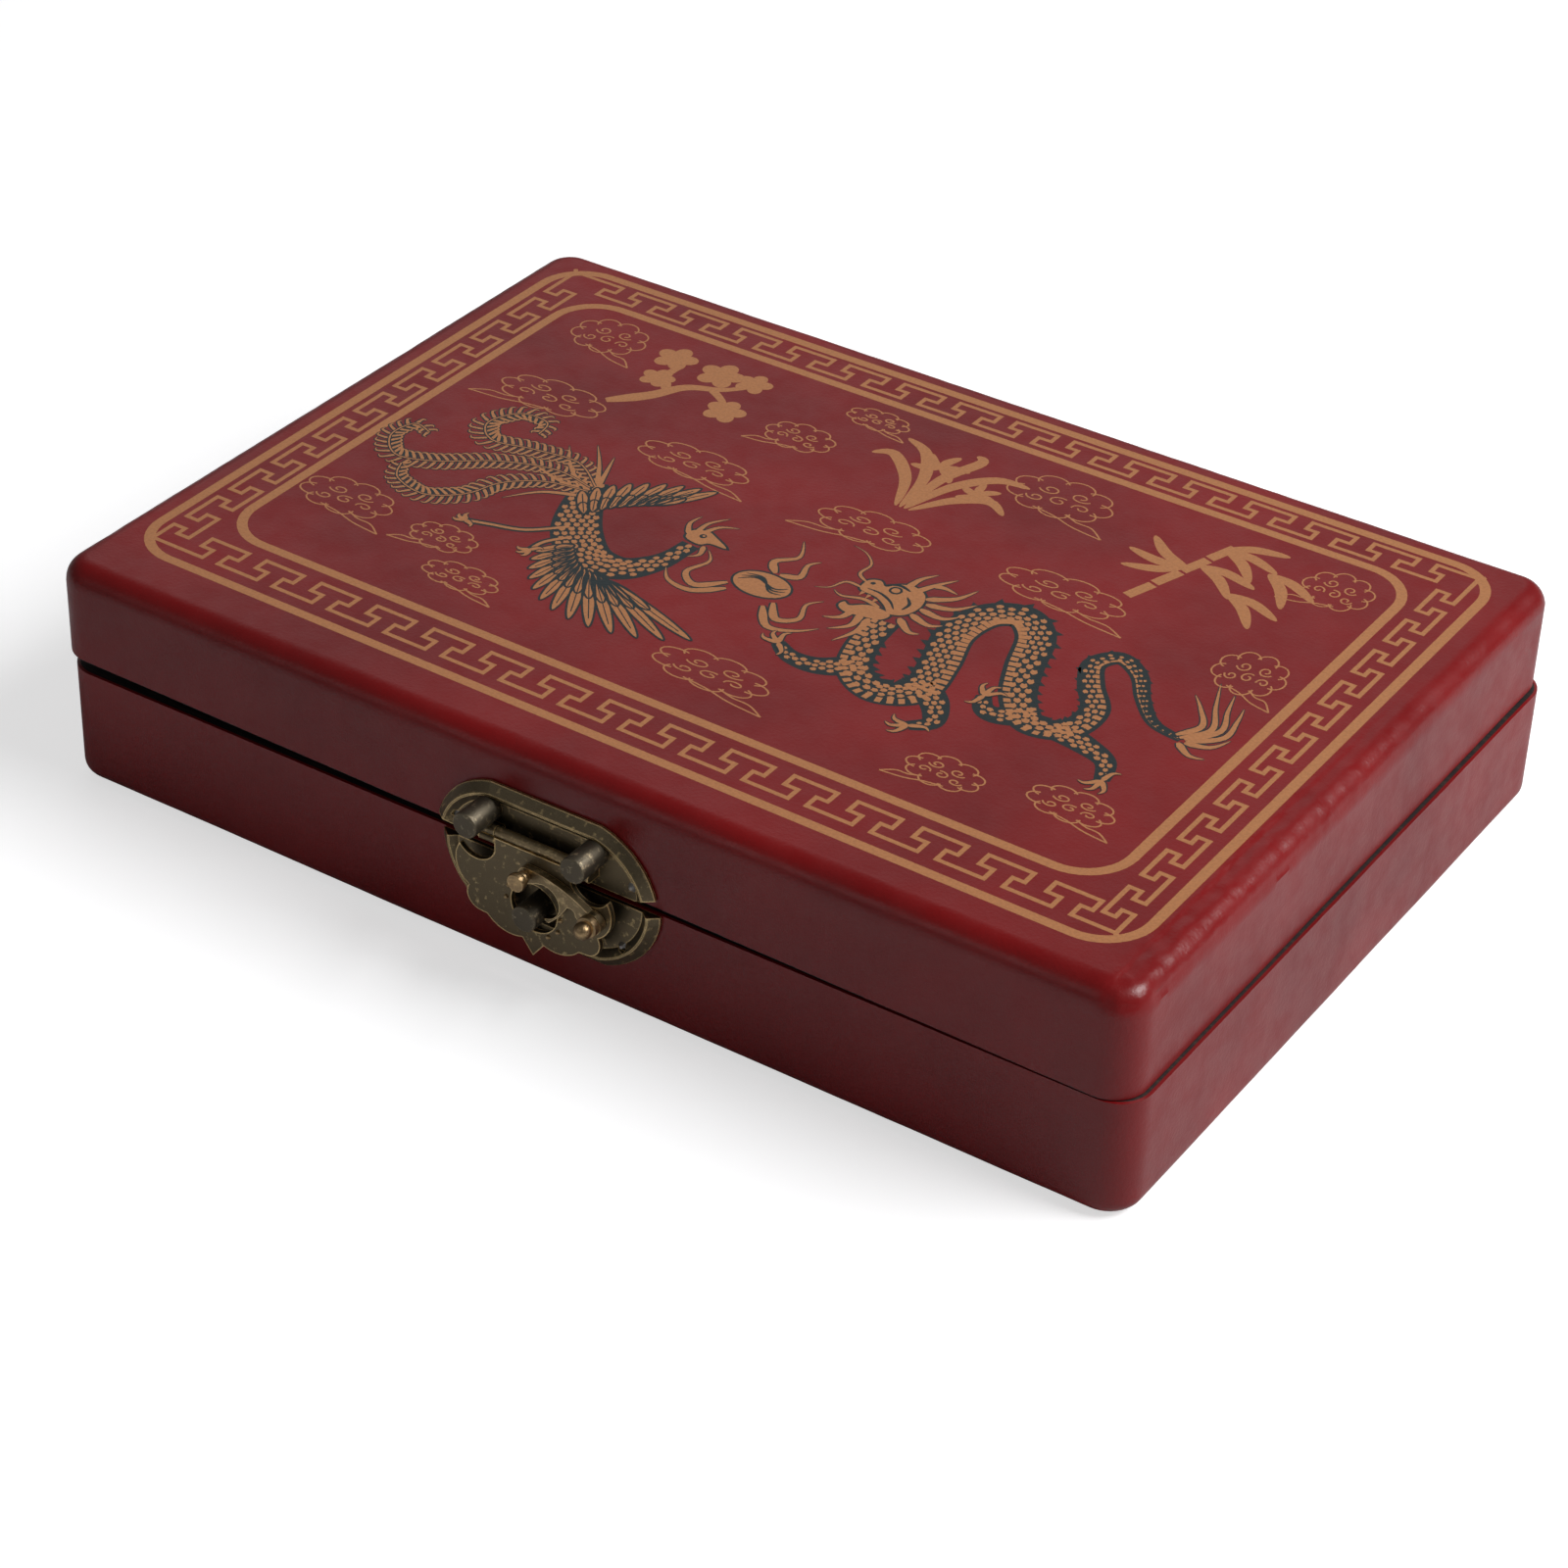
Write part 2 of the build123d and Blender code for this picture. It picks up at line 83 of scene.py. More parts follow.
class Surface:
    """A Principled material whose textures are measured in millimetres of the object."""

    def __init__(self, name, color, roughness, metallic=0.0, **sockets):
        self.material = bpy.data.materials.new(name)
        self.material.use_nodes = True
        self.tree = self.material.node_tree
        self.shader = self.tree.nodes["Principled BSDF"]
        self.set("Base Color", (*color, 1.0))
        self.set("Roughness", roughness)
        self.set("Metallic", metallic)
        for socket, value in sockets.items():
            self.set(socket.replace("_", " "), value)
        coordinates = self.node("ShaderNodeTexCoord")
        scale = self.node("ShaderNodeVectorMath", operation="SCALE")
        scale.inputs["Scale"].default_value = 1 / MM
        self.link(coordinates.outputs["Object"], scale.inputs[0])
        self.place = scale.outputs[0]

    def node(self, kind, **settings):
        made = self.tree.nodes.new(kind)
        for key, value in settings.items():
            setattr(made, key, value)
        return made

    def link(self, output, socket):
        self.tree.links.new(output, socket)

    def set(self, socket, value):
        self.shader.inputs[socket].default_value = value

    def noise(self, size, detail=2.0, rough=0.5, stretch=(1, 1, 1)):
        """Noise from 0 to 1 whose features are about size millimetres."""
        place = self.node("ShaderNodeVectorMath", operation="MULTIPLY")
        place.inputs[1].default_value = stretch
        self.link(self.place, place.inputs[0])
        made = self.node("ShaderNodeTexNoise")
        made.inputs["Scale"].default_value = 1.0 / size
        made.inputs["Detail"].default_value = detail
        made.inputs["Roughness"].default_value = rough
        self.link(place.outputs[0], made.inputs["Vector"])
        return made.outputs["Fac"]

    def ramp(self, value, low, high, out_low=0.0, out_high=1.0):
        """value taken from low..high to out_low..out_high, held at the ends."""
        made = self.node("ShaderNodeMapRange", clamp=True)
        limits = {"From Min": low, "From Max": high, "To Min": out_low, "To Max": out_high}
        for socket, limit in limits.items():
            made.inputs[socket].default_value = limit
        self.link(value, made.inputs["Value"])
        return made.outputs["Result"]

    def math(self, operation, first, second):
        made = self.node("ShaderNodeMath", operation=operation)
        for socket, value in zip(made.inputs, (first, second)):
            if isinstance(value, (int, float)):
                socket.default_value = value
            else:
                self.link(value, socket)
        return made.outputs[0]

    def mix(self, factor, first, second):
        """Mix of two colours; each is a colour or a socket."""
        made = self.node("ShaderNodeMix", data_type="RGBA")
        self.link(factor, made.inputs["Factor"])
        for socket, value in ((made.inputs[6], first), (made.inputs[7], second)):
            if isinstance(value, tuple):
                socket.default_value = (*value, 1.0)
            else:
                self.link(value, socket)
        return made.outputs[2]

    def attribute(self, name):
        return self.node("ShaderNodeAttribute", attribute_name=name).outputs["Fac"]

    def bump(self, *layers):
        """Bumps the surface by layers of (height socket, millimetres)."""
        normal = None
        for height, depth in layers:
            made = self.node("ShaderNodeBump")
            made.inputs["Strength"].default_value = 1.0
            made.inputs["Distance"].default_value = depth * MM
            self.link(height, made.inputs["Height"])
            if normal:
                self.link(normal, made.inputs["Normal"])
            normal = made.outputs["Normal"]
        self.link(normal, self.shader.inputs["Normal"])

    def paint(self, color):
        self.link(color, self.shader.inputs["Base Color"])

    def shine(self, roughness):
        self.link(roughness, self.shader.inputs["Roughness"])


RED = (0.215, 0.0045, 0.0055)
DEEP_RED = (0.15, 0.003, 0.004)
BLACK_PAINT = (0.012, 0.010, 0.010)
GOLD_INK = (0.46, 0.19, 0.072)
DARK_INK = (0.012, 0.022, 0.024)


def grain(surface):
    """Grain of the covering: fine grains, rounder ones and slow waves."""
    fine = surface.noise(0.3, detail=2.0, rough=0.6)
    grains = surface.noise(0.8, detail=1.0)
    waves = surface.noise(9.0, detail=1.0)
    return (waves, 0.05), (grains, 0.04), (fine, 0.022)


def leather():
    made = Surface("red_leather", RED, 0.34, IOR=1.45)
    tone = made.noise(38.0, detail=3.0)
    smudges = made.noise(5.5, detail=3.0, rough=0.6)
    color = made.mix(made.ramp(tone, 0.35, 0.7), RED, DEEP_RED)
    ragged = made.ramp(made.noise(1.1, detail=3.0), 0.3, 0.7, 0.0, 0.12)
    spill = made.math("LESS_THAN", made.attribute("rim"), ragged)
    made.paint(made.mix(spill, color, BLACK_PAINT))
    made.shine(made.ramp(smudges, 0.38, 0.66, 0.29, 0.40))
    made.bump(*grain(made))
    return made.material


def ink(name, color):
    made = Surface(name, color, 0.42, IOR=1.45)
    worn = made.noise(0.55, detail=3.0)
    made.paint(made.mix(made.ramp(worn, 0.35, 0.75), color, tuple(0.8 * c for c in color)))
    made.bump(*grain(made))
    return made.material


def matte(name, color, other, rough, texture, turns, depth, **sockets):
    """Dull surface in two colours; texture goes over from one to the other between its values turns."""
    made = Surface(name, color, rough, **sockets)
    pattern = made.noise(**texture)
    made.paint(made.mix(made.ramp(pattern, *turns), color, other))
    made.bump((pattern, depth))
    return made.material


def lining_cloth():
    color = (0.115, 0.135, 0.085)
    made = Surface("lining_cloth", color, 0.92, Sheen_Weight=0.35, Sheen_Roughness=0.5)
    pile = made.noise(0.45, detail=3.0)
    nap = made.noise(14.0, detail=2.0)
    made.paint(made.mix(made.ramp(nap, 0.35, 0.7), color, (0.155, 0.18, 0.115)))
    made.bump((pile, 0.25))
    return made.material


def bronze(name, dark, bright, wear, edge_size=0.3, rough=0.42):
    """Antiqued metal: dark in the hollows, bright along its edges, partly rubbed wear and partly a painted
    highlight.
    """
    made = Surface(name, dark, rough, metallic=1.0)
    # The bevel finds the edges, and their colour is brightened: partly rubbed wear, partly a painted
    # highlight.
    rounded = made.node("ShaderNodeBevel", samples=6)
    rounded.inputs["Radius"].default_value = edge_size * MM
    flat = made.node("ShaderNodeNewGeometry")
    turn = made.node("ShaderNodeVectorMath", operation="DOT_PRODUCT")
    made.link(rounded.outputs["Normal"], turn.inputs[0])
    made.link(flat.outputs["Normal"], turn.inputs[1])
    edges = made.ramp(turn.outputs["Value"], 0.998, 0.95)
    blotches = made.noise(1.6, detail=4.0, rough=0.65)
    fine = made.noise(0.28, detail=2.0)
    rubbed_and_highlit = made.math("MULTIPLY", edges, made.ramp(blotches, 0.1, 0.45))
    worn = made.ramp(blotches, 0.62 - wear, 0.8 - wear, 0.0, 0.75)
    bare_and_highlit = made.math("MAXIMUM", rubbed_and_highlit, worn)
    made.paint(made.mix(bare_and_highlit, made.mix(fine, dark, tuple(1.7 * c for c in dark)), bright))
    made.shine(made.ramp(fine, 0.3, 0.7, rough - 0.08, rough + 0.12))
    made.bump((fine, 0.045), (blotches, 0.05))
    return made.material


def steel():
    color = (0.42, 0.41, 0.40)
    made = Surface("tack_steel", color, 0.3, metallic=1.0)
    stains = made.noise(0.8, detail=3.0)
    made.paint(made.mix(made.ramp(stains, 0.4, 0.7), color, (0.26, 0.24, 0.22)))
    made.shine(made.ramp(stains, 0.3, 0.7, 0.26, 0.42))
    return made.material


LEATHER = leather()
GOLD = ink("gold_print", GOLD_INK)
DARK = ink("dark_print", DARK_INK)
LINING = lining_cloth()
STRANDS = {"size": 0.8, "detail": 4.0, "stretch": (0.08, 1, 1)}
FLOCK = {"size": 0.35}
WEAVE = {"size": 0.5, "stretch": (1, 3, 1)}
BLACK_EDGE = matte("black_edge", BLACK_PAINT, (0.05, 0.032, 0.022), 0.6, STRANDS, (0.5, 0.8), 0.12)
TRAY = matte(
    "tray_card", (0.035, 0.032, 0.03), (0.06, 0.055, 0.05), 0.85, FLOCK, (0.3, 0.8), 0.12, Sheen_Weight=0.2,
)
BACKING = matte(
    "backing_cloth", (0.02, 0.019, 0.019), (0.04, 0.038, 0.036), 0.95, WEAVE, (0.0, 1.0), 0.15,
)
# Metals: name, colour of the hollows, colour of bare spots and painted edge highlights, and how much of it
# is worn
BRONZE = bronze("antique_bronze", (0.125, 0.098, 0.06), (0.95, 0.70, 0.34), 0.04, edge_size=0.42)
POST_METAL = bronze("dark_bronze", (0.095, 0.080, 0.058), (0.72, 0.58, 0.36), 0.05, rough=0.5)
BRASS = bronze("rubbed_brass", (0.24, 0.165, 0.09), (0.72, 0.50, 0.25), 0.16, rough=0.36)
LEVER_METAL = bronze("lever_bronze", (0.20, 0.15, 0.085), (0.85, 0.64, 0.34), 0.10, rough=0.38)
STEEL = steel()


# ---------------------------------------------------------------- meshes

def new_object(name, verts, faces, materials, body, smooth=35.0):
    """Mesh given in millimetres, made in metres and riding on a body."""
    mesh = bpy.data.meshes.new(name)
    mesh.from_pydata([Vector(v) * MM for v in verts], [], faces)
    mesh.update()
    for mat in materials:
        mesh.materials.append(mat)
    mesh.polygons.foreach_set("use_smooth", [True] * len(mesh.polygons))
    mesh.set_sharp_from_angle(angle=math.radians(smooth))
    obj = bpy.data.objects.new(name, mesh)
    bpy.context.scene.collection.objects.link(obj)
    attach(obj, body)
    return obj


def spread(start, stop, step):
    """Evenly spaced values from start to stop, about step apart."""
    count = max(1, round(abs(stop - start) / step))
    return [start + (stop - start) * k / count for k in range(count + 1)]


# ---------------------------------------------------------------- covering

RING_STEP = 1.3
NEAR_RIM = (0.0, 0.15, 0.4)     # distances of the closer rings beside a sawn edge, and of the next
BEYOND_RIM = 0.9
ARC_STEPS = 10
FAR_FROM_RIM = 99.0             # where the paint of the sawn edge never reaches
UNPAINTED = 0.09                # how much narrower the paint's spill past the base's rim is


def ring_plan():
    """(corner, place along the side before it or None, place on its arc) for each point of a ring."""
    plan = []
    for corner in range(4):
        run = DEPTH if corner % 2 else LENGTH
        plan += [(corner, f, 0.0) for f in spread(0.0, 1.0, RING_STEP / run)[:-1]]
        plan += [(corner, 1.0, f) for f in spread(0.0, 1.0, 1.0 / ARC_STEPS)[:-1]]
    return plan


PLAN = ring_plan()


def ring(inset):
    """(x, y, outward x, outward y) round the case's rounded outline, drawn in by inset."""
    radius = max(CORNER - inset, 0.01)
    half_x = LENGTH / 2 - inset - radius
    half_y = DEPTH / 2 - inset - radius
    centres = [(half_x, -half_y), (half_x, half_y), (-half_x, half_y), (-half_x, -half_y)]
    points = []
    for corner, along, turned in PLAN:
        last, here = centres[corner - 1], centres[corner]
        angle = math.radians(90.0 * (corner - 1 + turned))
        nx, ny = math.cos(angle), math.sin(angle)
        x = last[0] + (here[0] - last[0]) * along
        y = last[1] + (here[1] - last[1]) * along
        points.append((x + radius * nx, y + radius * ny, nx, ny))
    return points


def covering(name, body, profile, loop, lift, black_from, unpainted=0.0):
    """Covering swept round the case.

    The profile is a list of (inset, height, slope in degrees, distance over the rim or None); lift gives
    the final point for a ring point. The faces between rings black_from and the next are painted black.
    The paint spills raggedly past the rim, and unpainted narrows that spill.
    """
    verts = []
    rims = []
    for inset, height, slope, over_rim in profile:
        for x, y, nx, ny in ring(inset):
            verts.append(lift(x, y, nx, ny, height, slope, over_rim))
            rims.append(FAR_FROM_RIM if over_rim is None else abs(over_rim) + unpainted)
    count = len(PLAN)
    rings = len(profile)
    faces = []
    black = []
    for r in range(rings if loop else rings - 1):
        low = r * count
        high = (r + 1) % rings * count
        for k in range(count):
            n = (k + 1) % count
            faces.append((low + k, low + n, high + n, high + k))
            black.append(r == black_from)
    if not loop:
        faces.append(tuple(reversed(range(count))))
        faces.append(tuple(range((rings - 1) * count, rings * count)))
        black += [False, False]
    obj = new_object(name, verts, faces, [LEATHER, BLACK_EDGE], body)
    obj.data.polygons.foreach_set("material_index", [int(b) for b in black])
    rim = obj.data.attributes.new("rim", "FLOAT", "POINT")
    rim.data.foreach_set("value", rims)
    return obj


def wave(x, y, z, size):
    """Slow noise from 0 to 1."""
    return 0.5 + 0.5 * noise.noise(Vector((x, y, z)) / size)


def ease(value, low, high):
    """0 below low, 1 above high and smooth between."""
    t = min(max((value - low) / (high - low), 0.0), 1.0)
    return t * t * (3 - 2 * t)


FOLD_INSET = 6.6            # where the covering's folded end lies under the printed sheet
FOLD_STEP = 0.4
BUMPS = 0.4
BUMPS_INSET = 8.5           # the bumps end this far in from the right side
FOLD_FADES = (-30.0, 45.0)  # Y where the fold starts to fade and where it is gone
# Waves in the covering: (length, depth)
LID_WAVES = ((26.0, 0.16), (5.0, 0.05))
BASE_WAVES = ((24.0, 0.14), (5.0, 0.05))
EDGE_WAVE = (4.0, 0.1)      # deepest half-way round the lid's top edge
PLATEAU = (12.0, 20.0, 35.0, 50.0, 65.0, 80.0)      # insets of the rings on the lid's flat top


def waves(x, y, z, sizes):
    return sum(depth * wave(x, y, z, length) for length, depth in sizes)


def fold(x, y):
    """How far the right end's folded covering sinks: a wavy step that fades towards the rear."""
    edge = LENGTH / 2 - x
    wander = 1.1 * (wave(x * 0.1, y, 0, 7.0) - 0.5) + 0.5 * (wave(0, y, 3, 2.2) - 0.5)
    strength = 1.0 - ease(y, *FOLD_FADES)
    dents = 0.55 + 0.9 * abs(wave(x, y, 0, 3.0) - 0.5)
    step = FOLD_STEP * dents * ease(FOLD_INSET + wander - edge, -0.5, 0.6)
    bumps = BUMPS * abs(2 * wave(x, y, 5, 3.6) - 1) * ease(BUMPS_INSET - edge, 0.0, 2.0)
    return strength * (step + bumps)


def lid_rim(x, y):
    return LID_RIM + LID_RISE_X * x + LID_RISE_Y * y


def along_side(over_rim, rim, foot, top):
    """Height of a ring that lies over_rim above a rim at foot, stretched where the real rim is higher."""
    return rim + over_rim / (top - foot) * (top - rim)


def lid_point(x, y, nx, ny, height, slope, over_rim):
    """Point of the lid's covering: drawn in a little by its waves, with a ragged sawn edge."""
    if slope is None:
        sink, slope = 0.0, 0.0
    else:
        sink = FACE_SINK if slope == 90.0 else waves(x, y, height, LID_WAVES)
        if slope > 0:
            sink += fold(x, y) + waves(x, y, height, (EDGE_WAVE,)) * math.sin(math.radians(2 * slope))
        sink = min(sink, MOST_SINK)
    x += LID_X
    if over_rim is not None:
        height = along_side(over_rim, lid_rim(x, y), LID_RIM, LID_TOP - TOP_EDGE)
        height += RAGGED * wave(x, y, 0, RAG_LENGTH) * (1 - ease(over_rim, 0.0, RAG_HEIGHT))
    flat, up = math.cos(math.radians(slope)), math.sin(math.radians(slope))
    return (x - nx * flat * sink, y - ny * flat * sink, height - up * sink)


def lid_covering():
    side_top = LID_TOP - TOP_EDGE
    inner_top = LID_TOP - SKIN
    inside = [(PLATEAU[-1], inner_top), (TOP_EDGE, inner_top), (SKIN, side_top - 0.8)]
    profile = [(inset, height, None, None) for inset, height in inside]
    profile.append((SKIN, 0.0, None, 0.0))
    for over_rim in (*NEAR_RIM, *spread(BEYOND_RIM, side_top - LID_RIM, RING_STEP)):
        profile.append((0.0, 0.0, 0.0, over_rim))
    for slope in spread(0.0, 90.0, 10.0)[1:-1]:
        angle = math.radians(slope)
        inset = TOP_EDGE * (1 - math.cos(angle))
        profile.append((inset, side_top + TOP_EDGE * math.sin(angle), slope, None))
    for inset in (*spread(TOP_EDGE, 9.0, 0.3), *PLATEAU):
        profile.append((inset, LID_TOP, 90.0, None))
    obj = covering("lid_covering", "lid", profile, False, lid_point, len(inside))
    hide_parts("lid_leather")


def base_point(x, y, nx, ny, height, slope, over_rim):
    """Point of the base's covering; distances over its rim are negative."""
    sink = waves(x, y, height, BASE_WAVES)
    if slope is None or slope == -90.0:
        sink, slope = 0.0, 0.0
    if over_rim is not None:
        height = BASE_RIM + over_rim
        height -= RAGGED * wave(x, y, 9, RAG_LENGTH) * (1 - ease(-over_rim, 0.0, RAG_HEIGHT))
    flat, up = math.cos(math.radians(slope)), math.sin(math.radians(slope))
    return (x - nx * flat * sink, y - ny * flat * sink, height - up * sink)


def base_covering():
    side_low = SHEET + BOTTOM_EDGE
    profile = [(inset, SHEET, -90.0, None) for inset in (TURN_IN, 9.0, 6.0, 4.5, BOTTOM_EDGE)]
    for slope in spread(-90.0, 0.0, 11.25)[1:-1]:
        angle = math.radians(slope)
        inset = BOTTOM_EDGE * (1 - math.cos(angle))
        profile.append((inset, side_low + BOTTOM_EDGE * math.sin(angle), slope, None))
    for down in (*spread(BASE_RIM - side_low, BEYOND_RIM, RING_STEP), *reversed(NEAR_RIM)):
        profile.append((0.0, 0.0, 0.0, -down))
    black_from = len(profile)
    inside = [
        (RED_LEDGE, BASE_RIM), (SKIN, BASE_RIM), (SKIN, side_low), (BOTTOM_EDGE, SHEET + SKIN),
        (TURN_IN, SHEET + SKIN),
    ]
    profile += [(inset, height, None, None) for inset, height in inside]
    obj = covering("base_covering", "base", profile, True, base_point, black_from, UNPAINTED)
    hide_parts("base_leather")


# ---------------------------------------------------------------- print on the lid

# Places on the print are (x, y) in millimetres from the middle of the lid's top. The print was laid a
# little askew: its near edge runs off by ASKEW over the lid's half length.
ASKEW = 1.75
PRINT_DEPTH = 145.0
FIRST_LAYER = LID_TOP - FACE_SINK + 0.006
LAYER = 0.014
STAGGER = 0.0003            # keeps overlapping strokes of one layer apart
STAGGERED = 40


def laid(x, y):
    """Where a place on the print lies on the lid."""
    from_rear = (PRINT_DEPTH / 2 - y) / PRINT_DEPTH
    return x + LID_X, y - ASKEW * from_rear * x / (LENGTH / 2)


class Sheet:
    """Flat shapes of one ink, gathered into one piece."""

    def __init__(self, name, ink_material, layer, slot):
        self.name = name
        self.ink = ink_material
        self.height = FIRST_LAYER + LAYER * layer
        self.slot = slot
        self.verts = []
        self.faces = []
        self.shapes = 0         # strokes and fills so far, each at a height of its own

    def points(self, places):
        """Adds points and returns their indices."""
        height = self.height + STAGGER * (self.shapes % STAGGERED)
        start = len(self.verts)
        self.verts += [(*laid(x, y), height) for x, y in places]
        return list(range(start, len(self.verts)))

    def fill(self, places):
        self.faces.append(tuple(self.points(places)))
        self.shapes += 1

    def stroke(self, places, width, closed=False):
        """Band along a line; width is one number, or a function of the place along it from 0 to 1."""
        count = len(places)
        left, right = [], []
        for k, (x, y) in enumerate(places):
            before = places[k - 1] if k or closed else None
            after = places[(k + 1) % count] if k < count - 1 or closed else None
            steps = [Vector((x, y)) - Vector(before)] if before else []
            steps += [Vector(after) - Vector((x, y))] if after else []
            normals = [Vector((-s.y, s.x)).normalized() for s in steps if s.length > 1e-9]
            middle = sum(normals, Vector((0, 0)))
            if middle.length < 1e-6:
                middle = normals[0]
            middle.normalize()
            miter = max(middle.dot(normals[0]), 0.5)
            half = (width(k / (count - 1)) if callable(width) else width) / 2 / miter
            left.append((x + middle.x * half, y + middle.y * half))
            right.append((x - middle.x * half, y - middle.y * half))
        a, b = self.points(left), self.points(right)
        for k in range(count if closed else count - 1):
            n = (k + 1) % count
            self.faces.append((b[k], b[n], a[n], a[k]))
        self.shapes += 1

    def build(self):
        obj = new_object(self.name, self.verts, self.faces, [self.ink], "lid")


def arc(centre, radius, start, stop, steps):
    """Points of an arc, its ends in degrees from the first axis."""
    angles = [math.radians(start + (stop - start) * k / steps) for k in range(steps + 1)]
    return [(centre[0] + radius * math.cos(a), centre[1] + radius * math.sin(a)) for a in angles]


def smooth(places, steps=6, closed=False):
    """Curve through places."""
    curve = []
    count = len(places)
    last = count if closed else count - 1
    for k in range(last):
        if closed:
            p = [places[(k + i) % count] for i in (-1, 0, 1, 2)]
        else:
            p = [places[max(k - 1, 0)], places[k], places[k + 1], places[min(k + 2, count - 1)]]
        for i in range(steps):
            t = i / steps
            weights = (
                -0.5 * t + t**2 - 0.5 * t**3,
                1 - 2.5 * t**2 + 1.5 * t**3,
                0.5 * t + 2 * t**2 - 1.5 * t**3,
                -0.5 * t**2 + 0.5 * t**3,
            )
            curve.append(tuple(sum(w * q[axis] for w, q in zip(weights, p)) for axis in (0, 1)))
    if not closed:
        curve.append(tuple(places[-1]))
    return curve


def taper(width, blunt=0.0):
    """Brush width: full near the start and down to a point, or to blunt times the width."""
    return lambda t: width * (blunt + (1 - blunt) * (1 - t) ** 0.8 * min(1.0, 0.35 + 4 * t))


def swell(width):
    """Brush width that is full in the middle."""
    return lambda t: width * (0.15 + 0.85 * math.sin(math.pi * min(max(t, 0.0), 1.0)) ** 0.7)


def moved(places, at, turn=0.0):
    """Places turned by degrees and moved to at."""
    c, s = math.cos(math.radians(turn)), math.sin(math.radians(turn))
    return [(at[0] + x * c - y * s, at[1] + x * s + y * c) for x, y in places]


# Border: two stripes with rounded corners and a fret between them. Each is (left, right, near, far).
OUTER_STRIPE = (-110.0, 108.8, -69.8, 75.0)
INNER_STRIPE = (-99.2, 96.6, -55.2, 64.2)
FRET_OUTSIDE = (-107.3, 104.9, -65.6, 72.6)
FRET_INSIDE = (-101.7, 100.2, -59.2, 67.0)
STRIPE_WIDTH = 2.1
STRIPE_RADIUS = 10.0
FRET_WIDTH = 0.95
FRET_RUN = 13.3
FRET_SHIFT = -0.09          # how far the first unit is moved along, as a part of a unit
# One unit of the fret: (place along it, 0 at the outer line and 1 at the inner one)
FRET_UNIT = (
    (0.0, 0.0), (0.71, 0.0), (0.71, 0.5), (0.5, 0.5), (0.5, 1.0), (1.175, 1.0), (1.175, 0.5), (1.0, 0.5),
)
LONG_ENDS = (4.0, 7.5)      # plain line before the first and after the last unit
SHORT_ENDS = (3.0, 5.0)
CORNER_REACH = (0.9, 1.2)   # from the fret's corner to the outer stripe


def rounded_frame(bounds, radius, steps=10):
    left, right, near, far = bounds
    places = []
    corners = ((right, near, -90), (right, far, 0), (left, far, 90), (left, near, 180))
    for x, y, start in corners:
        cx = x - radius if x == right else x + radius
        cy = y + radius if y == near else y - radius
        places += arc((cx, cy), radius, start, start + 90, steps)
    return places


def fret_side(sheet, start, stop, inward, ends):
    """Fret along an outer line from start to stop; inward reaches its inner line, and ends stay plain."""
    first, last = Vector(start), Vector(stop)
    length = (last - first).length
    units = round((length - sum(ends)) / FRET_RUN)
    run = (length - sum(ends)) / units

    def place(along, across):
        t = (ends[0] + (along + FRET_SHIFT) * run) / length
        return tuple(first.lerp(last, t) + Vector(inward) * across)

    turns = [place(unit + along, across) for unit in range(units) for along, across in FRET_UNIT]
    sheet.stroke([start, *turns, place(units, 0.0), stop], FRET_WIDTH)


def border(sheet):
    for bounds in (OUTER_STRIPE, INNER_STRIPE):
        sheet.stroke(rounded_frame(bounds, STRIPE_RADIUS), STRIPE_WIDTH, closed=True)
    left, right, near, far = FRET_OUTSIDE
    in_left, in_right, in_near, in_far = FRET_INSIDE
    fret_side(sheet, (left, near), (right, near), (0, in_near - near), LONG_ENDS)
    fret_side(sheet, (left, far), (right, far), (0, in_far - far), LONG_ENDS)
    fret_side(sheet, (left, far), (left, near), (in_left - left, 0), SHORT_ENDS)
    fret_side(sheet, (right, far), (right, near), (in_right - right, 0), SHORT_ENDS)
    for x, y in ((left, near), (right, near), (right, far), (left, far)):
        reach_x, reach_y = (math.copysign(reach, side) for reach, side in zip(CORNER_REACH, (x, y)))
        sheet.stroke([(x, y), (x + reach_x, y + reach_y)], FRET_WIDTH)


# Clouds: (x, y, width, height, mirrored)
CLOUDS = (
    (-83.1, 51.9, 18.5, 16.9, 1),
    (-30.8, 40.4, 16.9, 12.3, -1),
    (-19.2, 55.8, 15.4, 9.2, 1),
    (26.9, 50.4, 24.6, 17.5, 1),
    (83.8, 51.5, 15.4, 16.2, -1),
    (-81.2, 24.2, 26.9, 14.5, -1),
    (-38.5, 19.2, 27.7, 13.1, 1),
    (-0.4, 18.8, 26.9, 13.8, -1),
    (45.4, 20.4, 29.0, 13.8, 1),
    (86.5, 16.2, 15.2, 17.7, 1),
    (-85.4, -32.3, 23.0, 14.6, 1),
    (-64.2, -33.0, 16.2, 10.8, -1),
    (-50.0, -42.5, 18.5, 10.0, 1),
    (7.3, -41.5, 26.9, 13.1, 1),
    (55.4, -43.5, 16.9, 11.5, -1),
    (81.5, -39.0, 18.5, 11.5, 1),
)
# A cloud in a box from -1 to 1: its edge is a ring of lobes, and it is filled with scrolls, each
# (x, y, radius, start in degrees, turn in degrees)
CLOUD_LOBES = 9
LOBE_SWING = 95.0           # degrees that a lobe's arc runs to each side of the way it faces
CLOUD_RING = (0.66, 0.58, -0.16, 0.14)      # half width, half height and middle of the ring of lobes
LOBE_RADIUS = 0.27
CLOUD_SCROLLS = (
    (-0.42, 0.34, 0.20, 200, 420),
    (0.12, 0.40, 0.20, -20, -430),
    (-0.14, -0.02, 0.19, 60, 400),
    (0.28, -0.02, 0.17, 200, -380),
    (-0.52, -0.12, 0.17, 180, 400),
)
CLOUD_TAILS = (
    ((0.18, -0.42), (0.42, -0.58), (0.72, -0.62), (1.0, -0.92)),
    ((-0.40, -0.52), (0.02, -0.62), (0.45, -0.82), (1.0, -0.92)),
)
CLOUD_LINE = 0.36


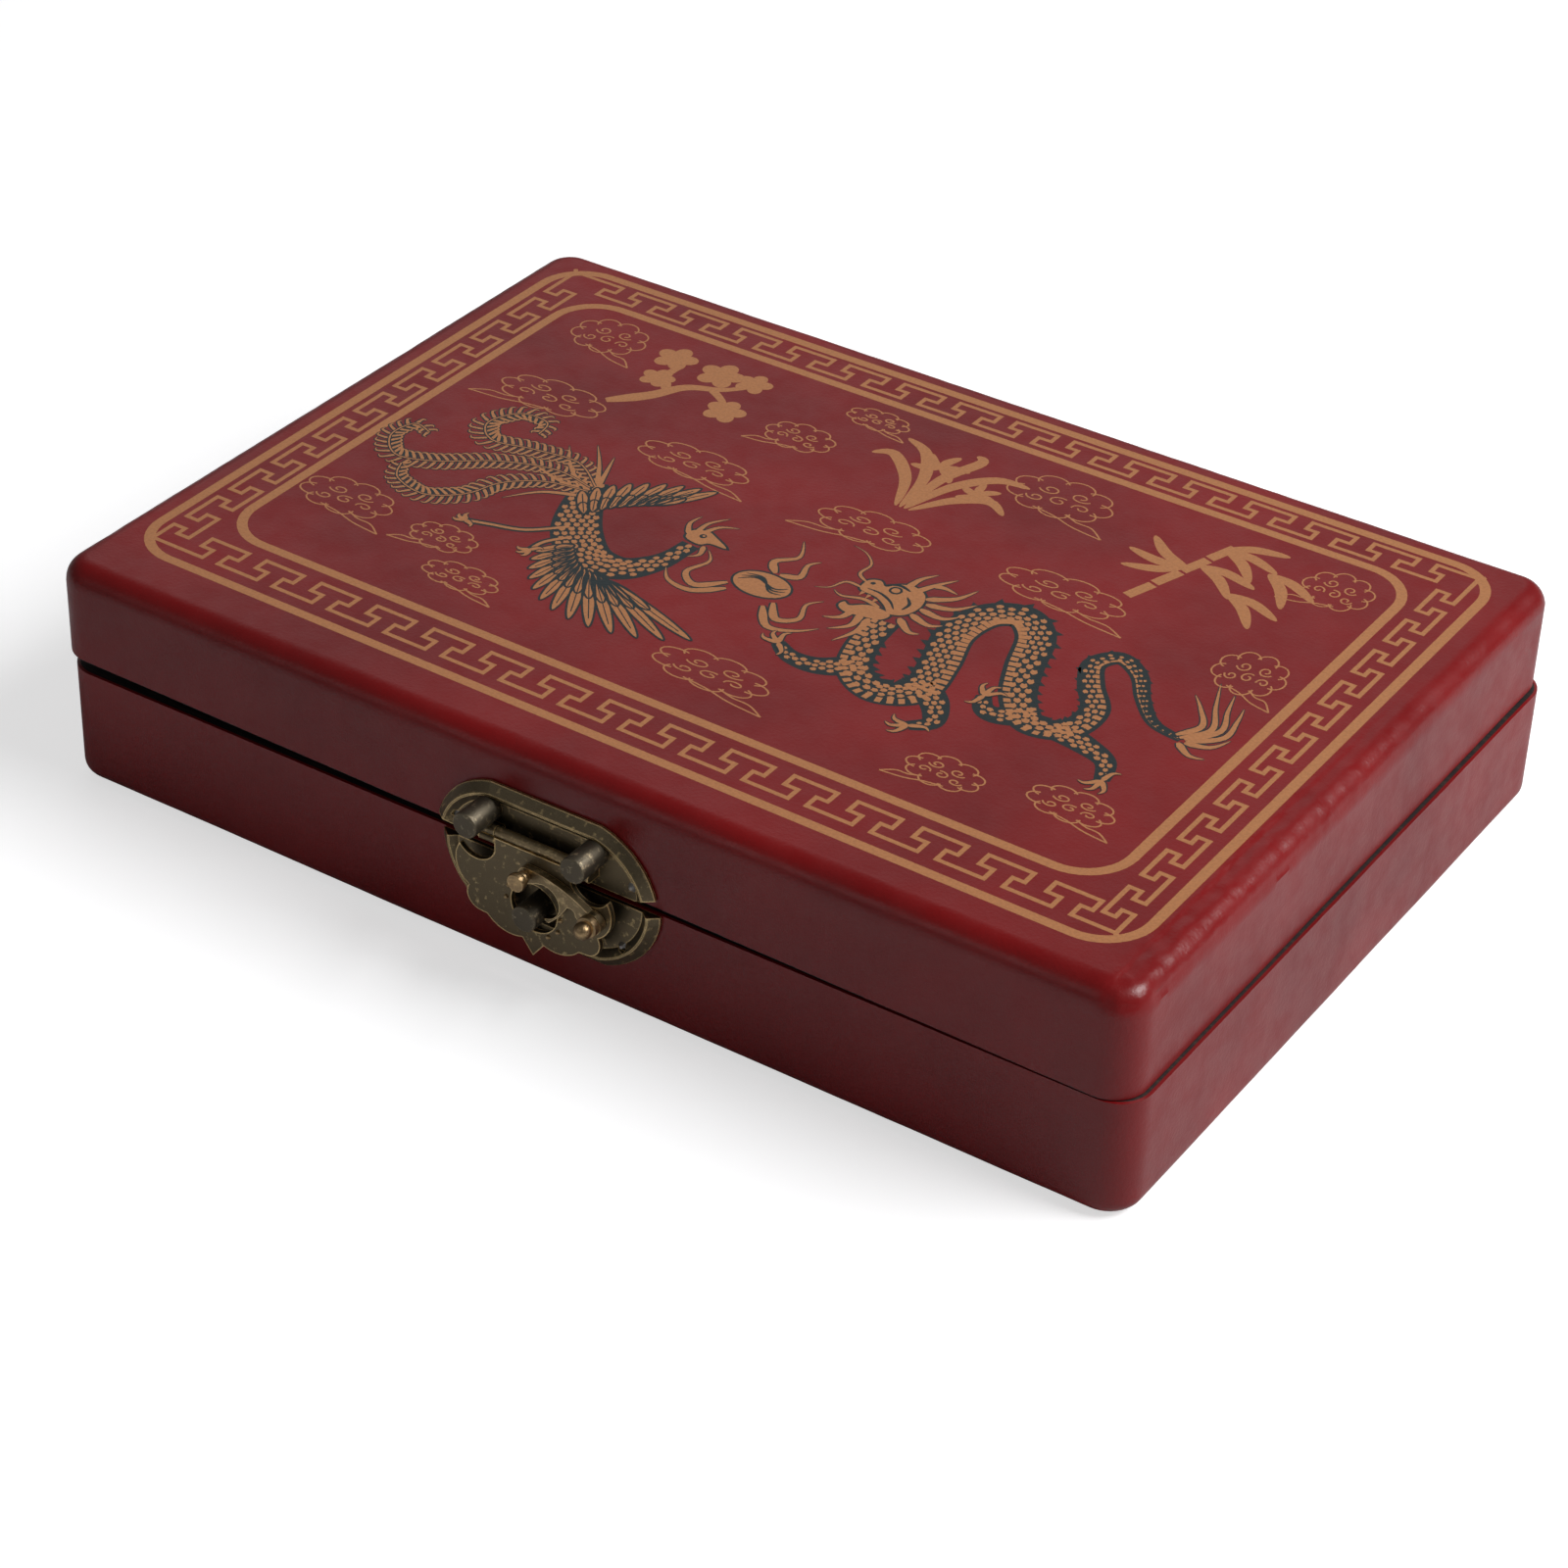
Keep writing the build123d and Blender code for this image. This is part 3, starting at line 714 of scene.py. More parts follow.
def scroll(x, y, radius, start, turn, steps=22):
    """Spiral that winds inwards."""
    places = []
    for k in range(steps + 1):
        t = k / steps
        a = math.radians(start + turn * t)
        r = radius * (1 - 0.72 * t**0.8)
        places.append((x + r * math.cos(a), y + r * math.sin(a)))
    return places


def cloud(sheet, x, y, width, height, mirrored):
    def fit(places):
        return [(x + mirrored * px * width / 2, y + py * height / 2) for px, py in places]

    half_width, half_height, middle_x, middle_y = CLOUD_RING
    for lobe in range(CLOUD_LOBES):
        a = 2 * math.pi * lobe / CLOUD_LOBES
        centre = (middle_x + half_width * math.cos(a), middle_y + half_height * math.sin(a))
        facing = math.degrees(a)
        edge = arc(centre, LOBE_RADIUS, facing - LOBE_SWING, facing + LOBE_SWING, 10)
        sheet.stroke(fit(edge), CLOUD_LINE)
    for curl in CLOUD_SCROLLS:
        sheet.stroke(fit(scroll(*curl)), CLOUD_LINE)
    for tail in CLOUD_TAILS:
        sheet.stroke(fit(smooth(tail)), CLOUD_LINE)


class Figure:
    """Gold shapes with dark outlines, drawn on four sheets one over the other."""

    def __init__(self):
        self.dark = Sheet("figure_ground", DARK, 0, "dark_print")
        self.gold = Sheet("figure_gold", GOLD, 1, "gold_print")
        self.lines = Sheet("figure_lines", DARK, 2, "dark_print")
        self.lights = Sheet("figure_lights", GOLD, 3, "gold_print")

    def band(self, places, width, edge=0.55):
        """Dark band that carries gold scales; edge widens it on both sides."""
        self.dark.stroke(places, lambda t: width(t) + 2 * edge)

    def patch(self, places, edge=0.5):
        """Gold shape with a dark outline."""
        self.dark.stroke(places, 2 * edge, closed=True)
        self.gold.fill(places)

    def lick(self, places, width, edge=0.45, lift=False):
        """Flame, hair or talon: a pointed gold stroke with a dark edge, over the rest if lifted."""
        curve = smooth(places)
        dark = self.lines if lift else self.dark
        gold = self.lights if lift else self.gold
        dark.stroke(curve, lambda t: taper(width)(t) + edge * 1.6 * (1 - 0.6 * t))
        gold.stroke(curve, taper(width))

    def build(self):
        for sheet in (self.dark, self.gold, self.lines, self.lights):
            sheet.build()


def frame_along(curve):
    """(distance, place, direction) at each point of a curve."""
    result = []
    far = 0.0
    for k, place in enumerate(curve):
        here = Vector(place)
        ahead = Vector(curve[min(k + 1, len(curve) - 1)]) - Vector(curve[max(k - 1, 0)])
        if k:
            far += (here - Vector(curve[k - 1])).length
        result.append((far, here, ahead.normalized()))
    return result


def at_distance(stations, distance):
    """(place, direction) at a distance along a curve."""
    for (a, p, d), (b, q, e) in zip(stations, stations[1:]):
        if b >= distance:
            t = (distance - a) / max(b - a, 1e-9)
            return p.lerp(q, t), d.lerp(e, t).normalized()
    return stations[-1][1], stations[-1][2]


SCALE_OUTLINE = (
    (-0.5, -0.3), (0.1, -0.5), (0.45, -0.3), (0.62, 0.0), (0.45, 0.3), (0.1, 0.5), (-0.5, 0.3),
    (-0.35, 0.0),
)


SCALE_LENGTH = 0.86         # of one scale, as a part of its size
SCALE_WIDTH = 0.8
ROW_STEP = 0.92


def scaled_body(figure, places, width, scale_size=1.8, plates=0.30, back=True):
    """Body in rows of scales.

    Belly plates take up the part plates of its width, on its right, and spines stand on its left if back.
    """
    curve = smooth(places, 8)
    stations = frame_along(curve)
    length = stations[-1][0]
    figure.band(curve, width)
    rows = int(length / (scale_size * ROW_STEP))
    for row in range(rows):
        distance = (row + 0.5) * length / rows
        place, along = at_distance(stations, distance)
        across = Vector((-along.y, along.x))
        wide = width(distance / length)
        scaled = wide * (1 - plates)
        count = max(2, round(scaled / scale_size))
        for k in range(count + row % 2):
            offset = wide / 2 - scaled * (k + 0.5 - 0.5 * (row % 2)) / count
            if abs(offset) > wide / 2 - 0.3:
                continue
            centre = place + across * offset
            size = min(scale_size, scaled / count)
            ahead, aside = along * size * SCALE_LENGTH, across * size * SCALE_WIDTH
            figure.gold.fill([tuple(centre + ahead * px + aside * py) for px, py in SCALE_OUTLINE])
        if plates:
            inner = -wide / 2 + 0.15
            outer = inner + wide * plates - 0.35
            half = length / rows * 0.36
            plate = [
                place + across * inner - along * half, place + across * inner + along * half,
                place + across * outer + along * half * 1.2, place + across * outer - along * half * 0.8,
            ]
            figure.gold.fill([tuple(p) for p in plate])
        if back and row % 2 == 0 and 3 < row < rows - 2:
            foot = place + across * (wide / 2 + 0.2)
            tip = foot + across * (0.45 * wide**0.7) + along * 0.9
            spine = [foot - along * 1.1, tip, foot + along * 1.1]
            figure.dark.fill([tuple(p) for p in spine])


# ---- dragon, facing left

DRAGON_BODY = (
    (21.5, -7.0), (22.5, -16.5), (26.0, -24.5), (33.0, -28.0), (39.0, -23.5), (37.5, -13.5),
    (34.5, -3.0), (36.0, 6.0), (41.5, 9.5), (47.0, 5.0), (50.5, -5.0), (54.8, -14.5),
    (61.0, -20.5), (67.5, -18.0), (68.3, -10.0), (63.5, -3.0), (60.5, 3.5), (63.5, 8.0),
    (69.0, 5.0), (73.5, -1.5), (79.0, -7.2), (85.5, -8.8),
)
DRAGON_LEGS = (
    (((26.5, -22.0), (20.0, -27.0), (14.0, -27.5), (9.5, -25.0)), 165.0),
    (((38.0, -21.0), (43.5, -25.0), (46.5, -30.5), (43.5, -34.0)), 235.0),
    (((61.0, -17.5), (55.0, -21.5), (51.5, -21.0), (49.5, -17.5)), 110.0),
    (((65.0, -19.0), (72.0, -20.5), (78.0, -23.0), (80.5, -28.5)), 290.0),
)
DRAGON_MANE = (
    ((23.5, 4.0), (28.0, 7.5), (30.0, 12.5)),
    ((24.5, 2.5), (29.5, 4.0), (32.5, 8.0)),
    ((24.5, 0.5), (29.5, 0.0), (32.0, 2.5)),
    ((24.0, -2.0), (28.5, -3.5), (31.0, -2.0)),
    ((23.0, -4.5), (26.8, -7.5), (29.0, -7.0)),
    ((16.5, -7.5), (17.0, -12.0), (14.0, -15.5)),
    ((18.5, -8.0), (19.0, -13.0), (17.0, -18.5)),
    ((14.5, -6.5), (14.0, -10.5), (11.0, -12.5)),
)
DRAGON_WHISKERS = (
    ((11.5, 2.5), (8.5, 4.5), (8.5, 8.5), (5.5, 11.5), (2.0, 12.5)),
    ((11.5, 0.5), (8.0, 0.5), (6.5, -3.0), (4.0, -4.5)),
)
DRAGON_HORNS = (
    ((20.5, 5.0), (22.5, 9.5), (25.0, 13.5)),
    ((18.5, 5.5), (19.0, 9.5), (21.0, 13.0)),
    ((22.2, 9.0), (24.5, 9.5), (27.5, 9.0)),
)
DRAGON_SKULL = (
    (11.0, 1.0), (11.2, 3.6), (13.2, 4.6), (15.0, 3.4), (16.8, 5.6), (19.5, 6.6), (22.8, 5.0),
    (24.2, 1.0), (23.2, -3.0), (20.5, -4.4), (18.5, -2.6), (15.5, -0.8), (12.0, -0.4),
)
DRAGON_JAW = (
    (21.0, -4.6), (18.2, -3.8), (15.5, -4.2), (13.0, -6.2), (11.5, -5.6), (11.3, -7.4), (13.5, -8.6),
    (17.5, -8.0), (20.5, -7.0),
)
DRAGON_TAIL_HAIR = (
    ((85.0, -8.5), (88.5, -3.0), (85.5, 4.0), (82.5, 11.5)),
    ((86.0, -8.5), (90.0, -2.5), (88.0, 4.0), (86.5, 9.5)),
    ((86.5, -9.0), (91.5, -4.0), (91.0, 2.0), (90.0, 6.5)),
    ((84.0, -8.0), (86.5, -3.0), (83.5, 2.0), (80.5, 5.5)),
    ((86.5, -9.5), (91.0, -8.0), (93.0, -4.0)),
    ((85.5, -10.0), (89.0, -12.5), (92.0, -12.0)),
)
TALON_SPREAD = (-62.0, -22.0, 18.0, 150.0)
TALON_HOOK = -50.0          # degrees that a talon's tip bends


def talons(figure, at, heading, size):
    """Claw with spread talons."""
    for turn in TALON_SPREAD:
        a = math.radians(heading + turn)
        b = math.radians(heading + turn + TALON_HOOK)
        tip = (at[0] + size * math.cos(a), at[1] + size * math.sin(a))
        end = (tip[0] + 0.55 * size * math.cos(b), tip[1] + 0.55 * size * math.sin(b))
        figure.lick((at, tip, end), 1.25, lift=True)


def dragon_width(t):
    """Width of the body from the neck at 0 to the tail at 1."""
    return 5.2 + 1.9 * math.sin(math.pi * min(1.6 * t, 1)) - 4.2 * max(t - 0.62, 0) / 0.38


def dragon(figure):
    for points, heading in DRAGON_LEGS:
        scaled_body(figure, points, lambda t: 4.4 * (1 - t) ** 1.1 + 1.8, 1.5, plates=0.0, back=False)
        talons(figure, points[-1], heading, 3.0)
    for hair in DRAGON_TAIL_HAIR:
        figure.lick(hair, 1.7)
    scaled_body(figure, DRAGON_BODY, dragon_width)
    for hair in DRAGON_MANE:
        figure.lick(hair, 1.9)
    for horn in DRAGON_HORNS:
        figure.lick(horn, 1.7)
    for whisker in DRAGON_WHISKERS:
        figure.lick(whisker, 0.8, edge=0.3)
    for outline in (DRAGON_JAW, DRAGON_SKULL):
        figure.patch(smooth(outline, 4, closed=True))
    figure.lick(((18.0, -3.6), (14.0, -2.8), (10.0, -4.2), (7.6, -3.2)), 1.2)
    dragon_face(figure)


def dragon_face(figure):
    """Eye, nostril, brow and teeth."""
    for radius, sheet in ((1.35, figure.lines), (0.85, figure.lights)):
        sheet.fill(moved(circle(radius), (17.3, 3.3)))
    figure.lines.fill(moved(circle(0.4), (16.95, 3.2)))
    figure.lines.fill(moved(circle(0.5), (12.4, 3.0)))
    figure.lines.stroke(smooth(((14.6, 3.9), (17.0, 5.3), (19.8, 4.6))), swell(0.8))
    figure.lines.stroke(smooth(((12.5, 0.9), (15.5, 0.8), (18.5, -0.6), (20.5, -2.6))), swell(0.6))
    figure.lines.stroke(smooth(((20.3, 2.6), (22.0, 0.6), (21.8, -1.8))), swell(0.7))
    for x, y in ((12.6, -0.9), (14.2, -1.2), (16.0, -1.8)):
        figure.lights.fill([(x - 0.45, y + 0.3), (x + 0.45, y + 0.2), (x - 0.1, y - 1.4)])


def circle(radius, stretch=1.0, steps=18):
    angles = [2 * math.pi * k / steps for k in range(steps)]
    return [(radius * math.cos(a), stretch * radius * math.sin(a)) for a in angles]


# ---- phoenix, facing right

PHOENIX_BODY = (
    (-52.0, 2.0), (-48.5, -7.0), (-43.5, -15.5), (-36.5, -21.5), (-29.0, -21.0), (-24.5, -14.5),
    (-23.3, -6.0),
)
PHOENIX_PLUMES = (
    (
        (-51.0, 1.0), (-59.0, 6.5), (-69.0, 5.5), (-78.0, 3.5), (-83.0, 8.5), (-80.0, 15.5), (-73.5, 15.8),
        (-72.0, 11.0),
    ),
    (
        (-51.5, 0.0), (-61.0, 1.5), (-72.0, -2.5), (-82.0, -10.0), (-90.0, -12.5), (-95.5, -7.0),
        (-94.5, -0.5), (-90.0, -1.5),
    ),
    (
        (-51.0, -1.5), (-60.0, -3.5), (-66.5, -9.0), (-69.5, -16.5), (-76.0, -21.5), (-84.0, -19.5),
        (-87.0, -14.5),
    ),
)
PHOENIX_RAYS = (
    ((-50.0, 0.0), (-55.0, 8.0), (-60.0, 14.5)),
    ((-50.0, 0.0), (-52.5, 7.0), (-54.5, 12.5)),
    ((-51.0, -1.0), (-58.0, 3.0), (-64.5, 11.0)),
    ((-51.0, -2.0), (-60.0, -1.0), (-68.0, 2.0)),
    ((-50.5, -3.5), (-58.0, -7.0), (-63.0, -13.5)),
)
PHOENIX_WINGS = (
    # (feather roots along this line, first and last heading in degrees, first and last length, feathers)
    (((-46.5, -9.0), (-43.0, -3.5), (-37.5, 2.0)), (128.0, 58.0), (9.0, 13.5), 9),
    (((-41.0, -19.5), (-36.0, -24.5), (-28.5, -26.0)), (232.0, 342.0), (8.0, 26.0), 13),
)
PHOENIX_LEGS = (
    (((-46.0, -14.5), (-52.0, -20.5), (-59.0, -23.0), (-63.5, -24.5)), 190.0),
    (((-43.5, -17.5), (-46.5, -22.0), (-47.0, -26.0)), 265.0),
)
PHOENIX_COMB = (
    ((-24.0, -1.5), (-22.5, 2.5), (-19.0, 4.5)),
    ((-25.0, -1.8), (-25.0, 2.5), (-22.5, 6.5)),
    ((-26.0, -3.0), (-28.0, 0.5), (-27.5, 4.0)),
    ((-21.0, -5.0), (-20.0, -8.0), (-21.5, -10.0)),
)
PHOENIX_HEAD = (
    (-25.8, -4.2), (-26.0, -1.2), (-23.3, 0.0), (-20.8, -1.0), (-17.0, -3.2), (-20.6, -3.5), (-22.3, -5.0),
)
FEATHER_OUTLINE = (
    (0.0, 0.0), (0.25, 0.42), (0.62, 0.5), (0.9, 0.3), (1.0, 0.0), (0.9, -0.3), (0.62, -0.5), (0.25, -0.42),
)
BARB_STEP = 0.85            # between the barbs of a tail plume
BARB_SIZE = 2.9


def feather(figure, at, heading, length, width):
    """Leaf-shaped feather with a dark shaft."""
    shape = [(length * x, width * y) for x, y in FEATHER_OUTLINE]
    outline = moved(smooth(shape, 3, closed=True), at, heading)
    figure.lines.stroke(outline, 0.42, closed=True)
    figure.gold.fill(outline)
    figure.lines.stroke(moved([(0.15 * length, 0), (0.85 * length, 0)], at, heading), 0.22)


def plume(figure, places):
    """Long tail plume edged with small curled barbs."""
    curve = smooth(places, 8)
    stations = frame_along(curve)
    length = stations[-1][0]
    distance = 1.5
    side = 1
    while distance < length:
        place, along = at_distance(stations, distance)
        across = Vector((-along.y, along.x)) * side
        size = BARB_SIZE * (0.55 + 0.45 * math.sin(math.pi * distance / length))
        tip = place + across * size + along * size * 0.5
        curl = tip + along * size * 0.45 - across * size * 0.1
        figure.lick((tuple(place), tuple(tip), tuple(curl)), 0.85, edge=0.5)
        side = -side
        distance += BARB_STEP
    figure.lines.stroke(curve, 0.75)
    figure.lights.stroke(curve, 0.32)


def phoenix_width(t):
    """Width of the body from the tail at 0 to the neck at 1."""
    return 3.2 + 6.2 * math.sin(math.pi * min(0.12 + 0.95 * t, 1)) ** 1.3


def phoenix(figure):
    for places in PHOENIX_PLUMES:
        plume(figure, places)
    for places in PHOENIX_RAYS:
        figure.lick(places, 1.3)
    for points, heading in PHOENIX_LEGS:
        curve = smooth(points)
        figure.dark.stroke(curve, 1.9)
        figure.gold.stroke(curve, 0.8)
        talons(figure, points[-1], heading, 1.9)
    for roots, headings, lengths, count in PHOENIX_WINGS:
        line = smooth(roots, 10)
        stations = frame_along(line)
        for k in range(count):
            t = k / (count - 1)
            place, along = at_distance(stations, t * stations[-1][0])
            heading = headings[0] + (headings[1] - headings[0]) * t
            length = lengths[0] + (lengths[1] - lengths[0]) * t
            feather(figure, tuple(place), heading, length, 2.5)
            feather(figure, tuple(place), heading, length * 0.5, 2.3)
    scaled_body(figure, PHOENIX_BODY, phoenix_width, 1.7, plates=0.0, back=False)
    for places in PHOENIX_COMB:
        figure.lick(places, 1.3)
    figure.patch(smooth(PHOENIX_HEAD, 4, closed=True))
    figure.lines.fill(moved(circle(0.75), (-23.2, -2.0)))
    figure.lights.fill(moved(circle(0.3), (-23.1, -1.9)))


# ---- flaming pearl between them

PEARL = (-4.3, -9.9)
PEARL_LINE = ((-5.0, 0.5), (-1.5, 1.9), (2.5, -0.6), (5.2, 0.2))
PEARL_FLAMES = (
    ((-4.5, -5.0), (-7.0, -1.5), (-4.0, 2.5), (-6.5, 8.0)),
    ((-3.5, -5.0), (0.0, -3.5), (-1.0, 1.0), (0.5, 3.5)),
    ((-10.0, -13.0), (-14.5, -17.5), (-18.5, -14.5), (-17.0, -9.0), (-19.5, -5.5)),
    ((-9.0, -15.0), (-14.0, -19.5), (-19.5, -19.0), (-22.5, -15.5)),
    ((1.0, -14.0), (4.5, -18.5), (8.0, -16.0), (6.5, -11.0), (8.5, -8.0)),
    ((0.0, -16.0), (4.5, -21.5), (9.5, -20.0), (13.0, -16.5)),
)


def pearl(figure):
    for places in PEARL_FLAMES:
        figure.lick(places, 1.9)
    figure.patch(moved(circle(6.0, 0.68, 28), PEARL))
    for turn in (-14.4, 0.0, 14.4):
        figure.lines.stroke(smooth(moved(PEARL_LINE, PEARL, turn)), swell(0.5))


# ---- brushed flower ornaments: plum, orchid and bamboo

PETALS = 5


def blossom(sheet, at, size):
    for k in range(PETALS):
        heading = 90 + 360 / PETALS * k
        middle = moved([(0.5 * size, 0)], at, heading)[0]
        sheet.fill(moved(circle(0.42 * size, 0.86), middle, heading))
    sheet.fill(moved(circle(0.3 * size), at))


def leaf(sheet, at, heading, length, width):
    curve = smooth(((0, 0), (0.45 * length, 0.08 * length), (length, -0.04 * length)))
    sheet.stroke(moved(curve, at, heading), swell(width))


PLUM_BLOSSOMS = ((-9.5, 10.0, 5.2), (2.0, 9.5, 5.6), (11.0, -2.5, 5.0), (9.5, 10.5, 4.4), (-8.0, 1.0, 4.2))
ORCHID_LEAVES = (
    ((-2, -12), (-6, -2), (-13, 5), (-17, 3)),
    ((-1, -12), (-3, 0), (-8, 9), (-14, 12)),
    ((0, -12), (3, 0), (9, 8), (16, 9)),
    ((1, -12), (6, -4), (12, 0), (17, -3)),
    ((0, -12), (0, 2), (3, 12), (1, 14)),
)
BAMBOO_JOINTS = (-14.0, -7.0, 0.0, 7.0, 14.0)
# Fans of leaves on the bamboo: (x, y, headings in degrees)
BAMBOO_FANS = (
    (-2, 12, (-8, -38, 25)),
    (-5, 2, (150, 182, 212)),
    (-3, 4, (-5, -35)),
    (9, 9, (-50, -18)),
    (6, -2, (-12, -42)),
)


def plum(sheet, at):
    sheet.stroke(smooth(moved(((-11, -13), (-5, -6), (-1, 1), (6, 5), (12, 12)), at)), taper(3.6, 0.2))
    sheet.stroke(smooth(moved(((-3, -3), (-7, 3), (-7, 9), (-10, 13)), at)), taper(2.6, 0.2))
    sheet.stroke(smooth(moved(((3, 4), (9, 0), (13, -6)), at)), taper(2.2, 0.2))
    for x, y, size in PLUM_BLOSSOMS:
        blossom(sheet, (at[0] + x, at[1] + y), size)


def orchid(sheet, at):
    for places in ORCHID_LEAVES:
        sheet.stroke(smooth(moved(places, at)), swell(2.7))
    for heading in (20, 80, 140, 200, 320):
        leaf(sheet, (at[0] - 2.5, at[1] + 5.5), heading, 6.0, 2.2)
        leaf(sheet, (at[0] + 9.0, at[1] + 1.0), heading + 25, 4.6, 1.9)


def bamboo(sheet, at):
    for low, high in zip(BAMBOO_JOINTS, BAMBOO_JOINTS[1:]):
        foot = (at[0] - 5.0 + 0.3 * low, at[1] + low + 0.35)
        head = (at[0] - 5.0 + 0.3 * high, at[1] + high - 0.35)
        sheet.stroke([foot, head], 2.3)
    for x, y, fan in BAMBOO_FANS:
        for heading in fan:
            leaf(sheet, (at[0] + x, at[1] + y), heading, 12.5, 2.5)


ORNAMENTS = ((plum, (-58.5, 43.5)), (orchid, (2.3, 42.0)), (bamboo, (62.5, 41.5)))


def lid_print():
    frame_lines = Sheet("border_print", GOLD, 0, "gold_print")
    border(frame_lines)
    frame_lines.build()
    clouds = Sheet("cloud_print", GOLD, 0, "gold_print")
    for place in CLOUDS:
        cloud(clouds, *place)
    clouds.build()
    flowers = Sheet("flower_print", GOLD, 0, "gold_print")
    for draw, at in ORNAMENTS:
        draw(flowers, at)
    flowers.build()
    figure = Figure()
    phoenix(figure)
    pearl(figure)
    dragon(figure)
    figure.build()


# ---------------------------------------------------------------- clasp

# Places on the clasp are (from its middle along X, height). Depths are measured out of the front face.
CLASP_X = -1.45
LID_CLASP_X = CLASP_X + LID_X
FACE_Y = -DEPTH / 2
KEEPER_HEIGHT = 19.6
POST_U = 11.75
POST_HEIGHT = 34.6
POST_END = 8.85
POST_RADIUS = 2.6
POST_EDGE = 0.35
POST_FOOT = 0.9             # depth of the upper plate's front
DOTS = ((-5.3, 22.0), (-5.9, 19.2), (6.1, 18.9), (5.5, 16.1), (3.4, 14.1))
HASP_FRONT = 4.4
RIVET = (13.8, 22.3)
THUMB = (-0.4, 27.0)
KNOB_END = 9.18
AXIS = 0.05                 # radius left open at a turned piece's end


def turned(name, x, height, profile, material_used, body, steps=40):
    """Piece turned about an axis that stands out of the front face, from (radius, depth) points."""
    verts = []
    for radius, depth in profile:
        for k in range(steps):
            a = 2 * math.pi * k / steps
            verts.append((x + radius * math.cos(a), FACE_Y - depth, height + radius * math.sin(a)))
    faces = []
    for r in range(len(profile) - 1):
        for k in range(steps):
            n = (k + 1) % steps
            faces.append((r * steps + n, r * steps + k, (r + 1) * steps + k, (r + 1) * steps + n))
    faces.append(tuple(range(steps)))
    faces.append(tuple(reversed(range((len(profile) - 1) * steps, len(profile) * steps))))
    return new_object(name, verts, faces, [material_used], body, smooth=50.0)


def post(name, x, height, body, node):
    """Plain round post with a softened end."""
    profile = [(POST_RADIUS, POST_FOOT), (POST_RADIUS, POST_END - POST_EDGE)]
    profile += arc((POST_RADIUS - POST_EDGE, POST_END - POST_EDGE), POST_EDGE, 0, 90, 5)[1:]
    profile += [(AXIS, POST_END)]
    obj = turned(name, x, height, profile, POST_METAL, body)
    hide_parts(node)


def posts():
    """The keeper, at its full length, and the two posts of the upper plate."""
    post("keeper_full", CLASP_X, KEEPER_HEIGHT, "base", "keeper_post")
    for side, name in ((-1, "left"), (1, "right")):
        x = LID_CLASP_X + side * POST_U
        post(f"{name}_post_turned", x, POST_HEIGHT, "lid", f"clasp_{name}_post")


def rivet():
    profile = [(1.7, 2.95), (1.7, 3.3), (1.0, 3.3), (1.0, 6.1), (2.1, 6.1)]
    profile += arc((1.85, 7.1), 0.25, 0, 90, 4)
    profile += [(1.5, 7.45), (1.45, 7.65)]
    profile += arc((0.0, 8.25), 1.72, -28, 88, 12)
    obj = turned("rivet_ball", LID_CLASP_X + RIVET[0], RIVET[1], profile, BRASS, "hasp")
    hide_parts("lever_rivet")


def knob():
    profile = [(0.9, 6.0), (0.95, 6.3)] + arc((0.55, 6.95), 0.8, -60, 60, 6) + [(1.0, 7.7)]
    profile += arc((0.55, 8.4), 1.35, -28, 70, 8) + [(AXIS, KNOB_END)]
    profile = [(radius, min(depth, KNOB_END)) for radius, depth in profile]
    obj = turned("knob_turned", LID_CLASP_X + THUMB[0], THUMB[1], profile, BRASS, "lever")
    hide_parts("thumb_knob")


def hasp_dots():
    for number, (u, height) in enumerate(DOTS):
        profile = [(0.5, HASP_FRONT - 0.05)] + arc((0.0, HASP_FRONT), 0.48, 5, 86, 5)
        obj = turned(f"hasp_dot_{number}", LID_CLASP_X + u, height, profile, BRASS, "hasp", steps=16)


BARRELS = (
    # (name, depth, height, radius): the rolled end of the hasp and the bead under it
    ("hasp_barrel", 3.2, 31.7, 1.06),
    ("hasp_bead", 3.5, 30.05, 0.89),
)
BARREL_HALF = 8.4
BARREL_STEPS = 40


def barrels():
    """Rubbed sleeves of the hasp's rolled end."""
    steps = BARREL_STEPS
    for name, depth, height, radius in BARRELS:
        verts = []
        for end in (-BARREL_HALF, BARREL_HALF):
            for k in range(steps):
                a = 2 * math.pi * k / steps
                y, z = FACE_Y - depth + radius * math.cos(a), height + radius * math.sin(a)
                verts.append((LID_CLASP_X + end, y, z))
        faces = [(k, (k + 1) % steps, steps + (k + 1) % steps, steps + k) for k in range(steps)]
        obj = new_object(name, verts, faces, [LEVER_METAL], "hasp")


# Material of each CAD piece by the end of its name
FINISH = {
    "_plate": BRONZE,
    "hasp": BRONZE,
    "swing_lever": LEVER_METAL,
    "_hinge_pin": POST_METAL,
    "_leaf": BRONZE,
    "_board": BLACK_EDGE,
    "_lining": LINING,
    "_padding": LINING,
    "_tray": TRAY,
    "_tacks": STEEL,
    "bottom_sheet": BACKING,
}


def finish_nodes():
    for node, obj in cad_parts.items():
        for ending, mat in FINISH.items():
            if node.endswith(ending):
                obj.data.materials.clear()
                obj.data.materials.append(mat)


# ---------------------------------------------------------------- studio

# Camera: where it looks, from where, and its roll
TARGET = Vector((14.38, -30.80, 22.0))
AZIMUTH = math.radians(32.406)
ELEVATION = math.radians(34.288)
ROLL = math.radians(2.009)
DISTANCE = 752.9
IMAGE = 1600.0              # width of the picture, and the focal length, in its pixels
FOCAL_PIXELS = 4130.8
SENSOR = 36.0
CLIP_START = 10.0
